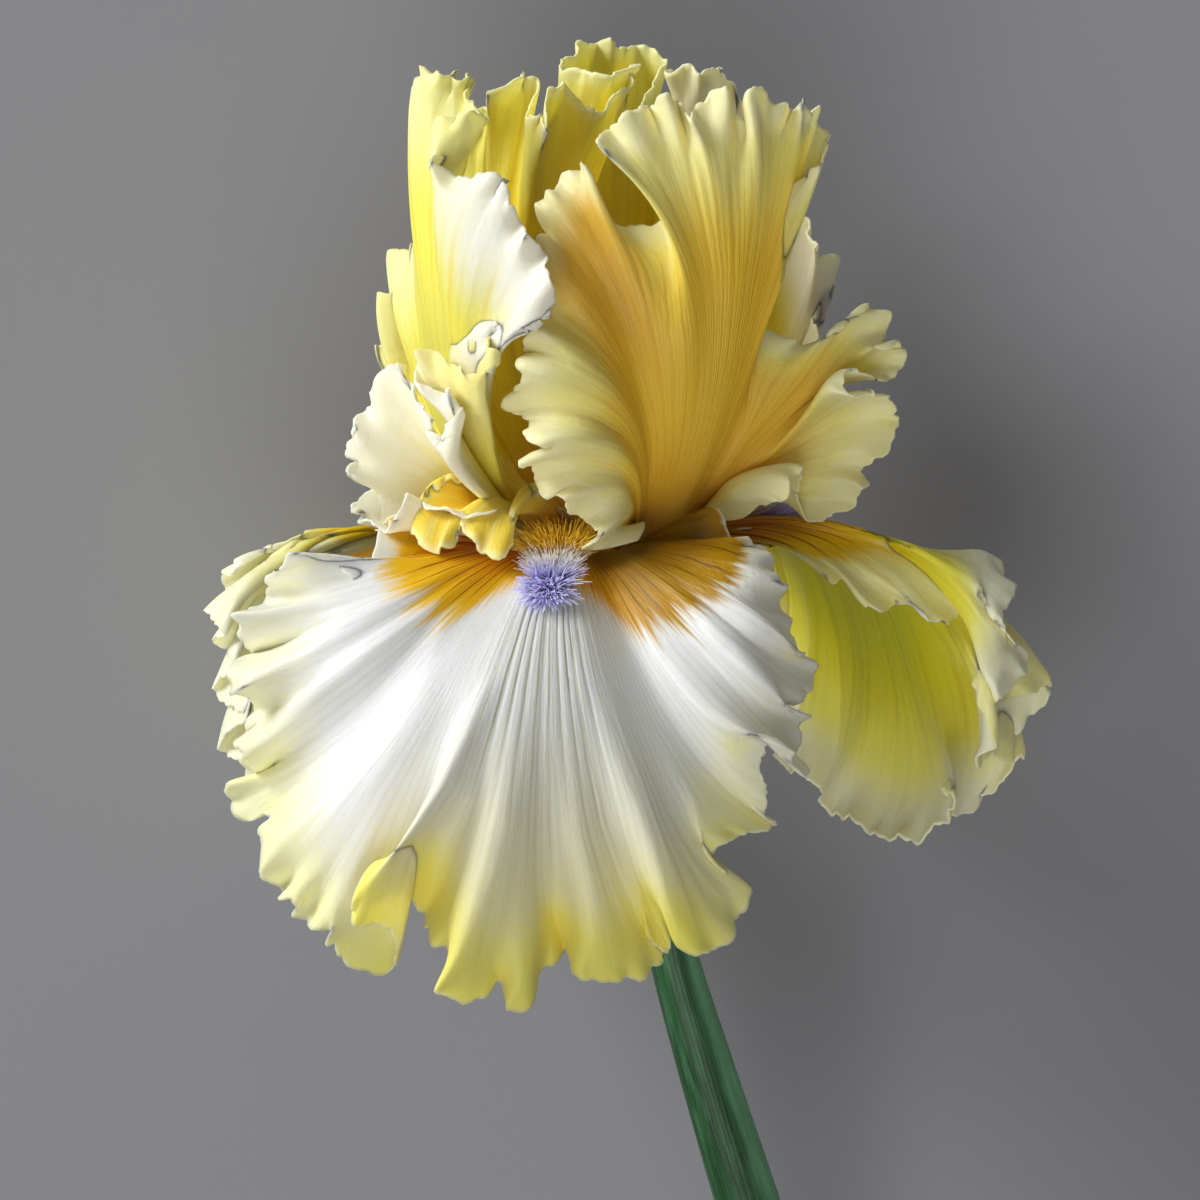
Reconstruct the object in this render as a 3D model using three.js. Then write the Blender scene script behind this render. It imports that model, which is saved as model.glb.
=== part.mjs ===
// A cut flower of a tall bearded iris, ruffled and laced, lying on its back on a table.
// Millimetres. X runs across the flower, Y along it towards the tips of its standards, +Z is up.
// It rests on the back edges of its two rear falls and on the cut end of its stem.
//
// The flower is drawn round its throat, where the six petals leave the tube, and moved at the end
// so that the origin is the middle of the box that holds the whole flower, on the table.

import * as THREE from 'three';

// ---- Driving dimensions ----

const CLAW_RADIUS = 5.5; // ring on which the petals' claws stand
const CLAW_ARC = 50; // degrees of that ring under each claw
const PETAL_THICKNESS = 0.7;
const STYLE_THICKNESS = 0.8;
const SPATHE_THICKNESS = 0.7;
const GAP = 0.3; // left between pieces that touch
const VIEW = 960; // height over the throat from which the rims are drawn
const VIEW_AXIS = [1.6, -4]; // where the line of sight meets the throat's level
const RIM_EASE = 1.8; // length over which the solid rim is eased
const FOLD = [4, 11]; // lengths over which the rim is eased for the inner and the innermost folds
const FOLD_START = [0.68, 0.42]; // how far up the petal each set of folds begins
const FOLD_POWER = [1.5, 2];

const TUBE_LENGTH = 50;
const TUBE_LEAN = [-0.227, 0.2]; // sideways and backward, for each mm down the tube
const TUBE_PROFILE = [
  // [depth under the throat, radius]: cup, perianth tube, ovary, foot
  [0.6, 6.2], [1.7, 5.6], [4, 3.9], [8, 3.1], [14, 2.7], [18, 3], [22, 4], [28, 4.7],
  [36, 4.8], [43, 4.4], [47.5, 4], [TUBE_LENGTH, 3.8],
];
const STEM_POINTS = [
  // from the foot of the ovary to the cut end
  [11.42, -50.3, -10.06], [13.6, -62, -12.6], [18.8, -80, -17.4], [26.8, -106, -26],
  [34.8, -132, -36], [43.6, -160, -48], [51.6, -184, -60.8],
];
const STEM_RADII = [3.9, 4, 4.6, 5.3, 5.6, 5.7, 5.8];

// ---- Petals ----
// rim: the frilled edge from shoulder to shoulder, [across, along, up] as seen from VIEW.
// tip: the rim point at the end of the midrib.
// rows: across the petal, from the claw outwards; they steer the blade as a Bezier curve does,
// and their two ends are the smooth edges of the haft.
// azimuth: where the claw stands, from the front (+Z) towards +X; hand: +1 where the rim runs that way.

const ACROSS = [0, 0.12, 0.25, 0.38, 0.5, 0.62, 0.75, 0.88, 1]; // places of a row's points

// The front fall: it arches out of the throat and hangs in front, wider than it is long.
const FALL_FRONT = {
  azimuth: -17,
  hand: 1,
  tip: 48,
  rim: [
    [-27.2, 9.8, 22], [-32.8, 8.8, 26], [-35.8, 0.8, 33], [-39.2, 0, 34], [-41.6, 3, 30],
    [-43.5, -2.4, 26], [-46.6, 3.5, 34], [-48.8, 2.4, 36], [-51.7, -1.4, 30], [-52.5, -4, 26],
    [-56.8, -5.9, 33], [-56, -10.4, 30], [-52.5, -12.8, 24], [-57.4, -14.9, 30], [-57.9, -19.2, 34],
    [-54.1, -20.5, 28], [-55, -25.6, 24], [-56.6, -28.3, 30], [-54.4, -31.5, 25], [-51.8, -32.2, 22],
    [-57.6, -33.1, 20], [-57.8, -36, 16], [-55, -39.5, 18], [-51.5, -37.9, 24], [-52.5, -40.8, 30],
    [-52.8, -46.6, 34], [-50.4, -50.4, 30], [-47.5, -52.6, 36], [-46.9, -54.9, 30], [-42.2, -57.3, 38],
    [-41.6, -59.2, 32], [-39.2, -61.9, 28], [-33.4, -64, 26], [-31, -61.6, 32], [-32.8, -56, 40],
    [-38, -56, 46], [-37.4, -50.4, 48], [-34.9, -46.9, 46], [-31.7, -50.4, 40], [-28.5, -52.5, 36],
    [-26.6, -54.4, 32], [-25.9, -57.6, 38], [-22.4, -61.6, 44], [-24.6, -66.4, 46], [-19.4, -68.5, 42],
    [-14.4, -65.6, 38], [-13, -70, 40], [-9.3, -68.5, 38], [-8, -64, 34], [-3.7, -60.5, 30],
    [-2.4, -64, 36], [2.6, -65.1, 36], [7.7, -64.5, 32], [11.8, -61.6, 28], [9.3, -58.1, 34],
    [12.6, -60.8, 30], [12.6, -54.6, 38], [14.4, -60, 40], [20.8, -59.7, 36], [25.4, -50.4, 30],
    [19.5, -45.9, 36], [23.2, -42.1, 34], [30.2, -40.2, 26], [28, -38.4, 30], [28.5, -34.4, 34],
    [26.9, -30.4, 38], [30.1, -26.1, 40], [34.6, -32.5, 34], [33.6, -26.4, 28], [34.9, -23, 32],
    [31.5, -21.6, 36], [35.8, -17, 24], [34.6, -13, 28], [33.3, -12.2, 34], [31.8, -4.8, 28],
    [30.9, -0.8, 32], [27.2, 3.5, 24], [25.1, 5.3, 26], [23.7, 4.3, 22], [20.3, 10.7, 20], [16, 7.2, 16],
  ],
  rows: [
    [
      [-8, 1.5, 12], [-9, 5, 18], [-8.5, 7, 20], [-7.5, 7.5, 21], [-6.5, 7.5, 21], [-5, 7.5, 21],
      [-3, 7, 20], [1, 5, 17], [5, 1.5, 10],
    ],
    [
      [-14, 4, 17], [-21, 5, 38], [-16, 3, 47], [-12, 1, 50], [-9, 0, 50], [-5, 0, 50], [1, 2, 47],
      [9, 6, 36], [10, 4, 13],
    ],
    [
      [-21, 8, 20], [-36, 0, 44], [-36, -18, 52], [-24, -34, 56], [-8, -42, 52], [4, -38, 56],
      [16, -20, 54], [23, -3, 46], [16, 8.5, 17],
    ],
  ],
};

// The right standard: its back faces the front, with a deep bay in its top left edge.
const STANDARD_RIGHT = {
  azimuth: 50,
  hand: 1,
  tip: 45,
  rim: [
    [7.7, 5.5, 22], [3.5, 4.4, 24], [0, 4, 26.5], [-1.1, 4.2, 28], [1.3, 5.9, 29], [-0.6, 8.8, 26],
    [-3, 9.6, 28], [-4.5, 12.5, 32], [-6.2, 12.2, 30], [-8.2, 13.8, 28], [-9.1, 16.8, 30],
    [-10.9, 18.4, 34], [-7.5, 20.2, 37], [-10.7, 22.6, 36], [-9.9, 24.8, 32], [-13.6, 26.7, 30],
    [-12.5, 29.9, 33], [-10.9, 32, 36], [-11, 36, 33], [-9.6, 39.2, 36], [-12, 40.5, 32], [-8.8, 44, 28],
    [-9.6, 48.8, 30], [-7.8, 53.6, 30], [-8.3, 57.6, 27], [-6.9, 61.6, 30], [-4, 63.5, 27],
    [-1, 65.9, 30], [-0.5, 62.4, 29], [1.6, 57.6, 28], [5.1, 55.7, 27], [9.6, 56.5, 27],
    [12.3, 58.1, 27], [10.6, 61.6, 28], [7.2, 65.3, 30], [1.1, 69, 34], [3.2, 71.8, 30], [6.1, 74.2, 32],
    [9.3, 74.9, 27], [11.4, 76.5, 31], [14.1, 76, 27], [15.8, 73.3, 32], [17.6, 75.7, 28],
    [21.1, 77.8, 29], [22.9, 75, 26], [24.5, 72, 25], [25.6, 74.1, 27], [24.8, 77.3, 30],
    [27.5, 77.8, 27], [29.8, 75.7, 24], [32.8, 74.7, 21], [33.8, 76, 24], [35.4, 73.9, 20],
    [36.5, 74.9, 17], [37.1, 72, 15], [38.1, 69.3, 20], [37.1, 66.1, 24], [33.6, 63.7, 22],
    [30.9, 60, 19], [28, 54.4, 17], [26.9, 48, 15], [27.8, 41.6, 13], [30.9, 37.9, 12], [34.6, 37.1, 12],
    [40, 39.2, 12], [45.1, 43.2, 10], [47.8, 40, 8], [47, 36, 12], [49.8, 37.3, 9], [50.4, 34.1, 6],
    [47.2, 31, 10], [44.5, 32.2, 15], [40.8, 33, 18], [41.4, 29.1, 19], [45.1, 29.1, 16], [48, 28.6, 11],
    [48.8, 26.2, 8], [49.4, 24.5, 5], [47, 19.2, 8], [43.5, 16.8, 5], [44.3, 14.4, 8], [41.9, 11.2, 5],
    [36, 8.6, 4], [33.3, 12.8, 8], [34.1, 16.8, 14], [32.3, 15.7, 17], [31.2, 12, 19], [27.5, 11.2, 15],
    [24, 9, 14], [20, 9, 10],
  ],
  rows: [
    [
      [5, 5, 7], [8, 7, 8], [11, 7, 9.5], [14, 6.5, 11], [16, 6, 11], [16, 6.5, 9.5], [15, 7, 7.5],
      [12, 6.5, 5.5], [8, 5, 4],
    ],
    [
      [9, 11, 12], [13, 15, 26], [17, 22, 31], [22, 24, 30], [26, 24, 27], [28, 23, 22], [30, 19, 16],
      [28, 14, 11], [13, 10, 6],
    ],
    [
      [10, 9, 19], [0, 19, 38], [-2, 44, 37], [12, 50, 33], [23, 52, 29], [29, 50, 21], [38, 33, 14],
      [39, 19, 6], [17, 11, 9],
    ],
  ],
};

// The left standard: its front edge curls forward over a low fan of frills.
const STANDARD_LEFT = {
  azimuth: -74,
  hand: -1,
  tip: 48,
  rim: [
    [-13.6, 11.2, 24], [-16.3, 9.8, 29], [-20.5, 9.6, 30], [-25.3, 10.4, 29], [-28.5, 12.3, 25],
    [-32.6, 8.2, 30], [-34.9, 8.8, 27], [-37.9, 10.7, 21], [-35.5, 14.1, 17], [-37.4, 16.8, 19],
    [-38.7, 19.2, 16], [-37.4, 22.7, 18], [-36.3, 26.1, 16], [-34.4, 30.9, 18], [-31.2, 34.2, 20],
    [-27.5, 28.3, 28], [-23.5, 21.9, 33], [-21.4, 26.1, 35], [-22.4, 29.6, 33], [-26.7, 30.4, 29],
    [-28.5, 32.8, 25], [-26.4, 36, 28], [-19.2, 32.3, 36], [-15.7, 34.4, 37], [-15.2, 37.6, 34],
    [-19.2, 37.1, 28], [-21.1, 40, 24], [-14.4, 40.8, 33], [-8.3, 40.5, 40], [-6.2, 43.5, 41],
    [-6.6, 48, 41], [-8, 52.8, 40], [-10.1, 54.4, 38], [-12.2, 58.4, 37], [-13.1, 62.4, 34],
    [-14.9, 64.3, 36], [-19.2, 63.5, 32], [-24.5, 65.8, 30], [-24, 68, 26], [-24.3, 71.5, 24],
    [-20, 73.9, 27], [-17, 73.4, 22], [-17.9, 74.1, 16], [-19.5, 77.1, 12], [-18.9, 80, 9],
    [-20.8, 79.5, 12], [-21.6, 80.8, 9], [-23.2, 80, 12], [-26.6, 81.1, 8], [-27.7, 77.9, 4],
    [-25.6, 72, 2], [-25, 66.4, 0], [-26.6, 61.6, -6], [-25.3, 57.6, -10], [-24.6, 54.4, -8],
    [-29.6, 52.8, -12], [-29.1, 49.6, -18], [-26.4, 45.6, -16], [-30.9, 45, -12], [-32.6, 43.5, -18],
    [-30.4, 40.8, -20], [-29.3, 39.8, -16], [-32.3, 36.8, -18], [-32.3, 35.5, -22], [-30, 28, -20],
    [-31, 22, -22], [-28, 18, -18],
  ],
  rows: [
    [
      [-7, 4, 8], [-9, 6, 8.5], [-10, 7, 8], [-11, 7.5, 7], [-12, 8, 5.5], [-12.5, 8, 4],
      [-12.5, 7.5, 2.5], [-12, 7, 1], [-10, 5, -1],
    ],
    [
      [-11, 9, 14], [-20, 14, 24], [-20, 20, 26], [-25, 25, 21], [-30, 26, 13], [-33, 25, 2],
      [-31, 24, -5], [-26, 20, -7], [-18, 12, -4],
    ],
    [
      [-13, 11, 20], [-31, 18, 26], [-19, 32, 33], [-24, 50, 33], [-28, 56, 12], [-28, 52, 0],
      [-31, 40, -12], [-31, 28, -18], [-26, 16, -12],
    ],
  ],
};

// The back standard: its tip rolls forward into a funnel between the other two.
const STANDARD_BACK = {
  azimuth: 170,
  hand: 1,
  tip: 29,
  rim: [
    [24, 18, -20], [33, 24, -16], [35.2, 37.1, -12], [36.5, 42.4, -16], [37.1, 45.6, -14],
    [39, 48.8, -18], [39.2, 51, -14], [36, 52, -8], [34.9, 56, -14], [32.8, 60, -18], [31.7, 61.9, -15],
    [32, 66, -21], [29, 71, -17], [24.8, 74, -21], [23.7, 76.8, -16], [22.1, 79.5, -14], [20.5, 81, -8],
    [17.6, 80.8, -4], [14.4, 81.3, -6], [13, 80.2, -12], [14.2, 76.3, -18], [11.2, 73.1, -22],
    [8.5, 76.3, -26], [11.7, 82.4, -32], [9.6, 84, -34], [7, 84.8, -36], [4.8, 84, -32], [3, 85.9, -30],
    [1.1, 84.8, -32], [-1.1, 85.4, -28], [-2.9, 83.2, -24], [-4.8, 81.3, -16], [-1.6, 80.8, -10],
    [1.6, 80.3, -6], [5.1, 80.5, -8], [7.8, 82.1, -12], [6.1, 78.4, -8], [2.2, 73.8, -4], [0, 74.4, -1],
    [-2.9, 76.6, -4], [-4.3, 79, 0], [-6.7, 75.4, 4], [-6.7, 70.9, 7], [-8.3, 73.6, 4], [-9.8, 74.4, -2],
    [-9.1, 78.9, -6], [-10.4, 80.8, -8], [-12.5, 79.2, -5], [-16, 77.1, -6], [-17.4, 74.9, -10],
    [-20, 68, -14], [-22, 60, -20], [-24, 52, -22], [-27, 42, -27], [-26, 32, -30], [-26, 24, -28],
    [-19, 18, -26],
  ],
  rows: [
    [
      [5, 4, -9.5], [4, 6, -11.5], [3, 7, -12.5], [2, 7.5, -13], [1, 7.5, -13], [0, 7.5, -13],
      [-1, 7, -12.5], [-2, 6, -11.5], [-2.5, 4, -10],
    ],
    [
      [10, 10, -16], [22, 18, -26], [18, 26, -34], [9, 28, -38], [0, 29, -39], [-9, 28, -37],
      [-17, 26, -32], [-17, 18, -26], [-6, 10, -17],
    ],
    [
      [17, 14, -20], [35, 30, -20], [30, 50, -26], [12, 58, -34], [0, 60, -38], [-6, 58, -30],
      [-12, 54, -16], [-24, 44, -24], [-13, 15, -23],
    ],
  ],
};

// The right rear fall: its front edge rolls up, and its blade hangs with its back to the stem.
const FALL_RIGHT = {
  azimuth: 110,
  hand: 1,
  tip: 37,
  rim: [
    [25.9, 7.5, 2], [28, 5.6, 1], [32, 6.1, -1], [34.1, 2.2, 2], [39.2, -0.8, 5], [43.5, 2.2, 2],
    [42.9, -3.2, 6], [46.4, -5.9, 9], [48.5, -4.5, 4], [52, -6.1, 6], [56.3, -7.4, 8], [59.5, -6.1, 3],
    [63.2, -2.4, 2], [64, 2.1, -3], [67.2, -2.4, 2], [65.8, -8, 8], [70.1, -13, 4], [69.4, -16.2, 9],
    [65.3, -20.2, 13], [67.2, -20, 4], [73.3, -17.8, -2], [72, -21, -6], [66.1, -26.7, -6],
    [61.6, -17.8, 9], [63.2, -23.2, 13], [64, -27.2, 14], [61.8, -30.6, 11], [64, -28.8, 2],
    [66.1, -29.6, -4], [68.8, -29.1, -12], [67.2, -32.3, -14], [63.2, -36, -18], [58.4, -38.7, -14],
    [56.8, -34.4, -4], [58.4, -35.5, 4], [56.8, -39.5, -4], [52.5, -42.2, -10], [48, -42.1, -16],
    [42.4, -39.8, -22], [36.8, -36.6, -30], [37.8, -34.4, -38], [34.6, -32.2, -40], [30, -30, -48],
    [33, -24, -54], [28, -20, -62], [32, -14, -66], [28, -8, -60], [33, -3, -62], [31, 2, -54],
    [34, 4, -46], [30, 8, -38], [32, 9.5, -30], [26, 9.5, -24],
  ],
  rows: [
    [
      [12, 2.5, 0], [14, 9, -2], [15, 12, -4], [16, 13.5, -6], [16, 14, -8], [15, 13, -10],
      [14, 11, -12], [12, 8, -11.5], [9, 3, -9.5],
    ],
    [
      [19, 6, 1], [36, 14, 2], [50, 18, -3], [56, 20, -12], [52, 24, -26], [44, 22, -38], [34, 18, -42],
      [24, 13, -30], [15, 6, -14],
    ],
    [
      [24, 8, 2], [47, 2, 6], [66, -8, 6], [67, -22, -8], [56, -28, -30], [42, -22, -50], [34, -6, -60],
      [31, 9, -40], [21, 9, -19],
    ],
  ],
};

// The left rear fall, mostly behind the front one.
const FALL_LEFT = {
  azimuth: -130,
  hand: -1,
  tip: 18,
  rim: [
    [-33.6, 7.2, 3], [-38.4, 6.4, -2], [-43.5, 3.2, 3], [-46.4, 4.3, -3], [-50.4, 1.1, 5],
    [-53.6, 1.3, -2], [-57.4, 1, 3], [-58.4, -2.1, -4], [-60.6, -5.9, 2], [-58.9, -9.1, 8],
    [-59, -11.7, 1], [-56.6, -14.2, 6], [-60, -19, -2], [-55, -23, 6], [-59, -28, -4], [-53, -31, 2],
    [-55, -36, -8], [-49, -37, -2], [-50, -41, -14], [-43, -39, -14], [-42, -38, -26], [-35, -33, -30],
    [-37, -29, -40], [-29, -25, -46], [-33, -19, -56], [-27, -14, -65.3], [-32, -8, -65.3],
    [-27, -4, -56], [-33, 1, -54], [-28, 5, -44], [-31, 8, -36], [-24, 9, -26],
  ],
  rows: [
    [
      [-12, 3, -5], [-14, 8, -5], [-15, 11, -6], [-15, 13, -8], [-15, 14, -10], [-14, 13, -12],
      [-12, 11, -13], [-9, 8, -12.5], [-6, 3, -11],
    ],
    [
      [-20, 6, -5], [-34, 12, 2], [-46, 14, 2], [-53, 16, -10], [-50, 20, -26], [-42, 18, -38],
      [-32, 16, -42], [-21, 12, -30], [-11, 6, -18],
    ],
    [
      [-27, 8, -1], [-47, 5, 6], [-62, -2, 6], [-62, -18, -6], [-54, -28, -28], [-41, -24, -48],
      [-33, -8, -60], [-30, 8, -42], [-18, 9, -23],
    ],
  ],
};

// ---- Curves and sheets ----

const add = (a, b, k = 1) => a.map((v, i) => v + b[i] * k);
const sub = (a, b) => a.map((v, i) => v - b[i]);
const length = (a) => Math.hypot(...a);
const mix = (a, b, t) => a.map((v, i) => v + (b[i] - v) * t);
const unit = (a) => a.map((v) => v / (length(a) || 1));
const cross = (a, b) => [
  a[1] * b[2] - a[2] * b[1],
  a[2] * b[0] - a[0] * b[2],
  a[0] * b[1] - a[1] * b[0],
];
const steps = (n) => Array.from({ length: n + 1 }, (_, i) => i / n);
const radians = (degrees) => (degrees * Math.PI) / 180;

// A point as it is seen from VIEW, carried along its line of sight to its own height.
function seen([x, y, z]) {
  const k = (VIEW - z) / VIEW;
  return [VIEW_AXIS[0] + (x - VIEW_AXIS[0]) * k, VIEW_AXIS[1] + (y - VIEW_AXIS[1]) * k, z];
}

// A smooth curve through points that stand at rising knots, read at t.
function spline(points, knots, t) {
  const last = points.length - 1;
  let i = 0;
  while (i < last - 1 && knots[i + 1] < t) i++;
  const slope = (j) => {
    const a = Math.max(j - 1, 0);
    const b = Math.min(j + 1, last);
    return sub(points[b], points[a]).map((v) => v / (knots[b] - knots[a]));
  };
  const h = knots[i + 1] - knots[i];
  const u = (t - knots[i]) / h;
  const [u2, u3] = [u * u, u * u * u];
  const parts = [
    [points[i], 2 * u3 - 3 * u2 + 1],
    [slope(i), (u3 - 2 * u2 + u) * h],
    [points[i + 1], 3 * u2 - 2 * u3],
    [slope(i + 1), (u3 - u2) * h],
  ];
  return parts.reduce((sum, [v, k]) => add(sum, v, k), [0, 0, 0]);
}

// A curve of evenly read points eased over a length, with its two ends held.
function eased(curve, over) {
  const n = curve.length - 1;
  let total = 0;
  for (let i = 0; i < n; i++) total += length(sub(curve[i + 1], curve[i]));
  const sigma = (over / total) * n;
  const reach = Math.ceil(3 * sigma);
  const read = (i) => {
    if (i < 0) return sub(curve[0].map((v) => 2 * v), curve[-i]);
    if (i > n) return sub(curve[n].map((v) => 2 * v), curve[2 * n - i]);
    return curve[i];
  };
  return curve.map((_, i) => {
    let [sum, weight] = [[0, 0, 0], 0];
    for (let j = -reach; j <= reach; j++) {
      const w = Math.exp(-0.5 * (j / sigma) ** 2);
      sum = add(sum, read(i + j), w);
      weight += w;
    }
    return sum.map((v) => v / weight);
  });
}

function bezier(points, s) {
  let level = points;
  while (level.length > 1) level = level.slice(1).map((p, i) => mix(level[i], p, s));
  return level[0];
}

// The ring of the tube's mouth under one claw.
function claw({ azimuth, hand }) {
  return ACROSS.map((t) => {
    const a = radians(azimuth + (t - 0.5) * hand * CLAW_ARC);
    return [Math.sin(a) * CLAW_RADIUS, 0, Math.cos(a) * CLAW_RADIUS];
  });
}

// A petal as a grid of points: grid[row][column], from claw to rim and from edge to edge.
function sheet(petal, columns, rows) {
  const rim = petal.rim.map(seen);
  const run = [0];
  for (let i = 1; i < rim.length; i++)
    run.push(run[i - 1] + length(sub(rim[i], rim[i - 1])) ** 0.7);
  const middle = run[petal.tip];
  const knots = run.map((v) =>
    v <= middle ? (0.5 * v) / middle : 0.5 + (0.5 * (v - middle)) / (run.at(-1) - middle),
  );
  const fine = steps(600).map((t) => spline(rim, knots, t));
  const edge = eased(fine, RIM_EASE);
  const folds = FOLD.map((over) => eased(fine, over));
  const across = [claw(petal), ...petal.rows.map((row) => row.map(seen))];
  const fade = (s, i) => Math.max(0, (s - FOLD_START[i]) / (1 - FOLD_START[i])) ** FOLD_POWER[i];
  return steps(rows).map((s) =>
    steps(columns).map((t) => {
      const at = Math.round(t * 600);
      const [frill, wave, plain] = [edge[at], folds[0][at], folds[1][at]];
      let p = bezier([...across.map((row) => spline(row, ACROSS, t)), plain], s);
      p = add(p, sub(wave, plain), fade(s, 1));
      return add(p, sub(frill, wave), fade(s, 0));
    }),
  );
}

// ---- Solids ----

// A closed solid's geometry from its points and faces, with its faces turned outwards.
function solid(points, faces) {
  let volume = 0;
  for (const [a, b, c] of faces) {
    const n = cross(points[b], points[c]);
    volume += points[a][0] * n[0] + points[a][1] * n[1] + points[a][2] * n[2];
  }
  const index = volume < 0 ? faces.map(([a, b, c]) => [a, c, b]) : faces;
  const geometry = new THREE.BufferGeometry();
  geometry.setAttribute('position', new THREE.Float32BufferAttribute(points.flat(), 3));
  geometry.setIndex(index.flat());
  geometry.computeVertexNormals();
  return geometry;
}

// The normals of a grid of points.
function normalsOf(grid) {
  const [rows, columns] = [grid.length - 1, grid[0].length - 1];
  const at = (r, c) =>
    grid[Math.min(Math.max(r, 0), rows)][Math.min(Math.max(c, 0), columns)];
  return grid.map((row, r) =>
    row.map((_, c) =>
      unit(cross(sub(at(r, c + 1), at(r, c - 1)), sub(at(r + 1, c), at(r - 1, c)))),
    ),
  );
}

// Two grids of the same size, one over the other, closed round their edges.
function between(front, back) {
  const [rows, columns] = [front.length, front[0].length];
  const points = [...front.flat(), ...back.flat()];
  const half = rows * columns;
  const faces = [];
  for (let r = 0; r < rows - 1; r++)
    for (let c = 0; c < columns - 1; c++) {
      const a = r * columns + c;
      const [b, d, e] = [a + 1, a + columns, a + columns + 1];
      faces.push([a, b, e], [a, e, d]);
      faces.push([half + a, half + e, half + b], [half + a, half + d, half + e]);
    }
  const loop = [];
  for (let c = 0; c < columns - 1; c++) loop.push(c);
  for (let r = 0; r < rows - 1; r++) loop.push(r * columns + columns - 1);
  for (let c = columns - 1; c > 0; c--) loop.push((rows - 1) * columns + c);
  for (let r = rows - 1; r > 0; r--) loop.push(r * columns);
  loop.forEach((a, i) => {
    const b = loop[(i + 1) % loop.length];
    faces.push([b, a, half + a], [b, half + a, half + b]);
  });
  return solid(points, faces);
}

// A thin blade: a sheet with half its thickness on either side.
function blade(grid, thickness) {
  const normals = normalsOf(grid);
  const side = (k) =>
    grid.map((row, r) => row.map((p, c) => add(p, normals[r][c], (k * thickness) / 2)));
  return between(side(1), side(-1));
}

// Rings of points, one after another, closed at both ends.
function loft(rings) {
  const sides = rings[0].length;
  const points = rings.flat();
  const faces = [];
  for (let r = 0; r < rings.length - 1; r++)
    for (let c = 0; c < sides; c++) {
      const a = r * sides + c;
      const b = r * sides + ((c + 1) % sides);
      faces.push([a, b, b + sides], [a, b + sides, a + sides]);
    }
  for (const [ring, flip] of [[0, true], [rings.length - 1, false]]) {
    const centre = points.length;
    points.push(rings[ring].reduce((sum, p) => add(sum, p, 1 / sides), [0, 0, 0]));
    for (let c = 0; c < sides; c++) {
      const a = ring * sides + c;
      const b = ring * sides + ((c + 1) % sides);
      faces.push(flip ? [centre, b, a] : [centre, a, b]);
    }
  }
  return solid(points, faces);
}

// A ring of points round a centre, square to a direction.
function ring(centre, along, radius, sides, shape = () => 1) {
  const u = unit(cross([0, 0, 1], along));
  const v = unit(cross(along, u));
  return steps(sides).slice(0, sides).map((t) => {
    const a = t * 2 * Math.PI;
    const r = radius * shape(a);
    return add(add(centre, u, Math.cos(a) * r), v, Math.sin(a) * r);
  });
}

const turned = ([x, y, z], azimuth) => {
  const [c, s] = [Math.cos(radians(azimuth)), Math.sin(radians(azimuth))];
  return [x * c + z * s, y, z * c - x * s];
};

// ---- Pieces ----

const tubeCentre = (depth) => [-TUBE_LEAN[0] * depth, -depth, -TUBE_LEAN[1] * depth];

// Cup, perianth tube and six-ribbed ovary, in level rings down the leaning axis.
function ovaryTube() {
  const ribs = (depth) => (depth > 20 && depth < 52 ? 0.06 : 0);
  return loft(
    TUBE_PROFILE.map(([depth, radius]) =>
      ring(tubeCentre(depth), [0, -1, 0], radius, 18, (a) => 1 + ribs(depth) * Math.cos(6 * a)),
    ),
  );
}

function stem() {
  const points = STEM_POINTS;
  const knots = steps(points.length - 1);
  const radii = STEM_RADII.map((r) => [r, 0, 0]);
  const rings = steps(13).map((t, i) => {
    const before = spline(points, knots, Math.max(t - 0.01, 0));
    const after = spline(points, knots, Math.min(t + 0.01, 1));
    const along = i === 0 ? [0, -1, 0] : sub(after, before);
    return ring(spline(points, knots, t), along, spline(radii, knots, t)[0], 18);
  });
  return loft(rings);
}

// A papery bract: a boat-shaped blade folded round the ovary from the top of the stem.
function spathe({ azimuth, radius, from, to, bulge, arc }) {
  const grid = steps(10).map((s) => {
    const depth = from + (to - from) * s;
    const half = radians(arc) * (1 - s ** 2.6) ** 0.8 + 0.02;
    const r = radius + bulge * Math.sin(Math.PI * Math.min(1, s ** 0.8)) - 0.2 * radius * s ** 5;
    return steps(10).map((t) => {
      const a = radians(azimuth) + (t * 2 - 1) * half;
      return add(tubeCentre(depth), [Math.sin(a) * r, 0, Math.cos(a) * r]);
    });
  });
  return blade(grid, SPATHE_THICKNESS);
}

// The petal-like arm of the style over one fall, ending in two upright crests.
const STYLE_ROWS = [
  // [half width, along, out, drop of the edges] from the column outwards
  [1.2, -0.1, 2.3, 0], [2.2, 8, 4.5, 0.8], [3.6, 13, 10, 2], [4.6, 14.5, 16, 3],
];
const STYLE_RIM = [
  [-4.6, 12, 17.5], [-5, 15, 20], [-3.6, 19, 21.5], [-1.6, 18.5, 22], [0, 14.8, 20],
  [1.6, 18.5, 22], [3.6, 19, 21.5], [5, 15, 20], [4.6, 12, 17.5],
];

function styleArm(azimuth) {
  const knots = steps(STYLE_RIM.length - 1);
  const grid = steps(6).map((s) =>
    steps(12).map((t) => {
      const rows = STYLE_ROWS.map(([half, y, z, drop]) => {
        const k = t * 2 - 1;
        return [k * half, y - drop * k * k, z];
      });
      return turned(bezier([...rows, spline(STYLE_RIM, knots, t)], s), azimuth);
    }),
  );
  return blade(grid, STYLE_THICKNESS);
}

// One stamen lies between each style arm and its beard: a thread and a long pollen sac.
const FILAMENT = { from: [0, 0, 3.6], to: [0, 7.6, 9.2], radius: 0.45 };
const ANTHER = { from: [0, 8, 9.6], to: [0, 10.4, 16.6], width: 0.85, depth: 0.5 };

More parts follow.
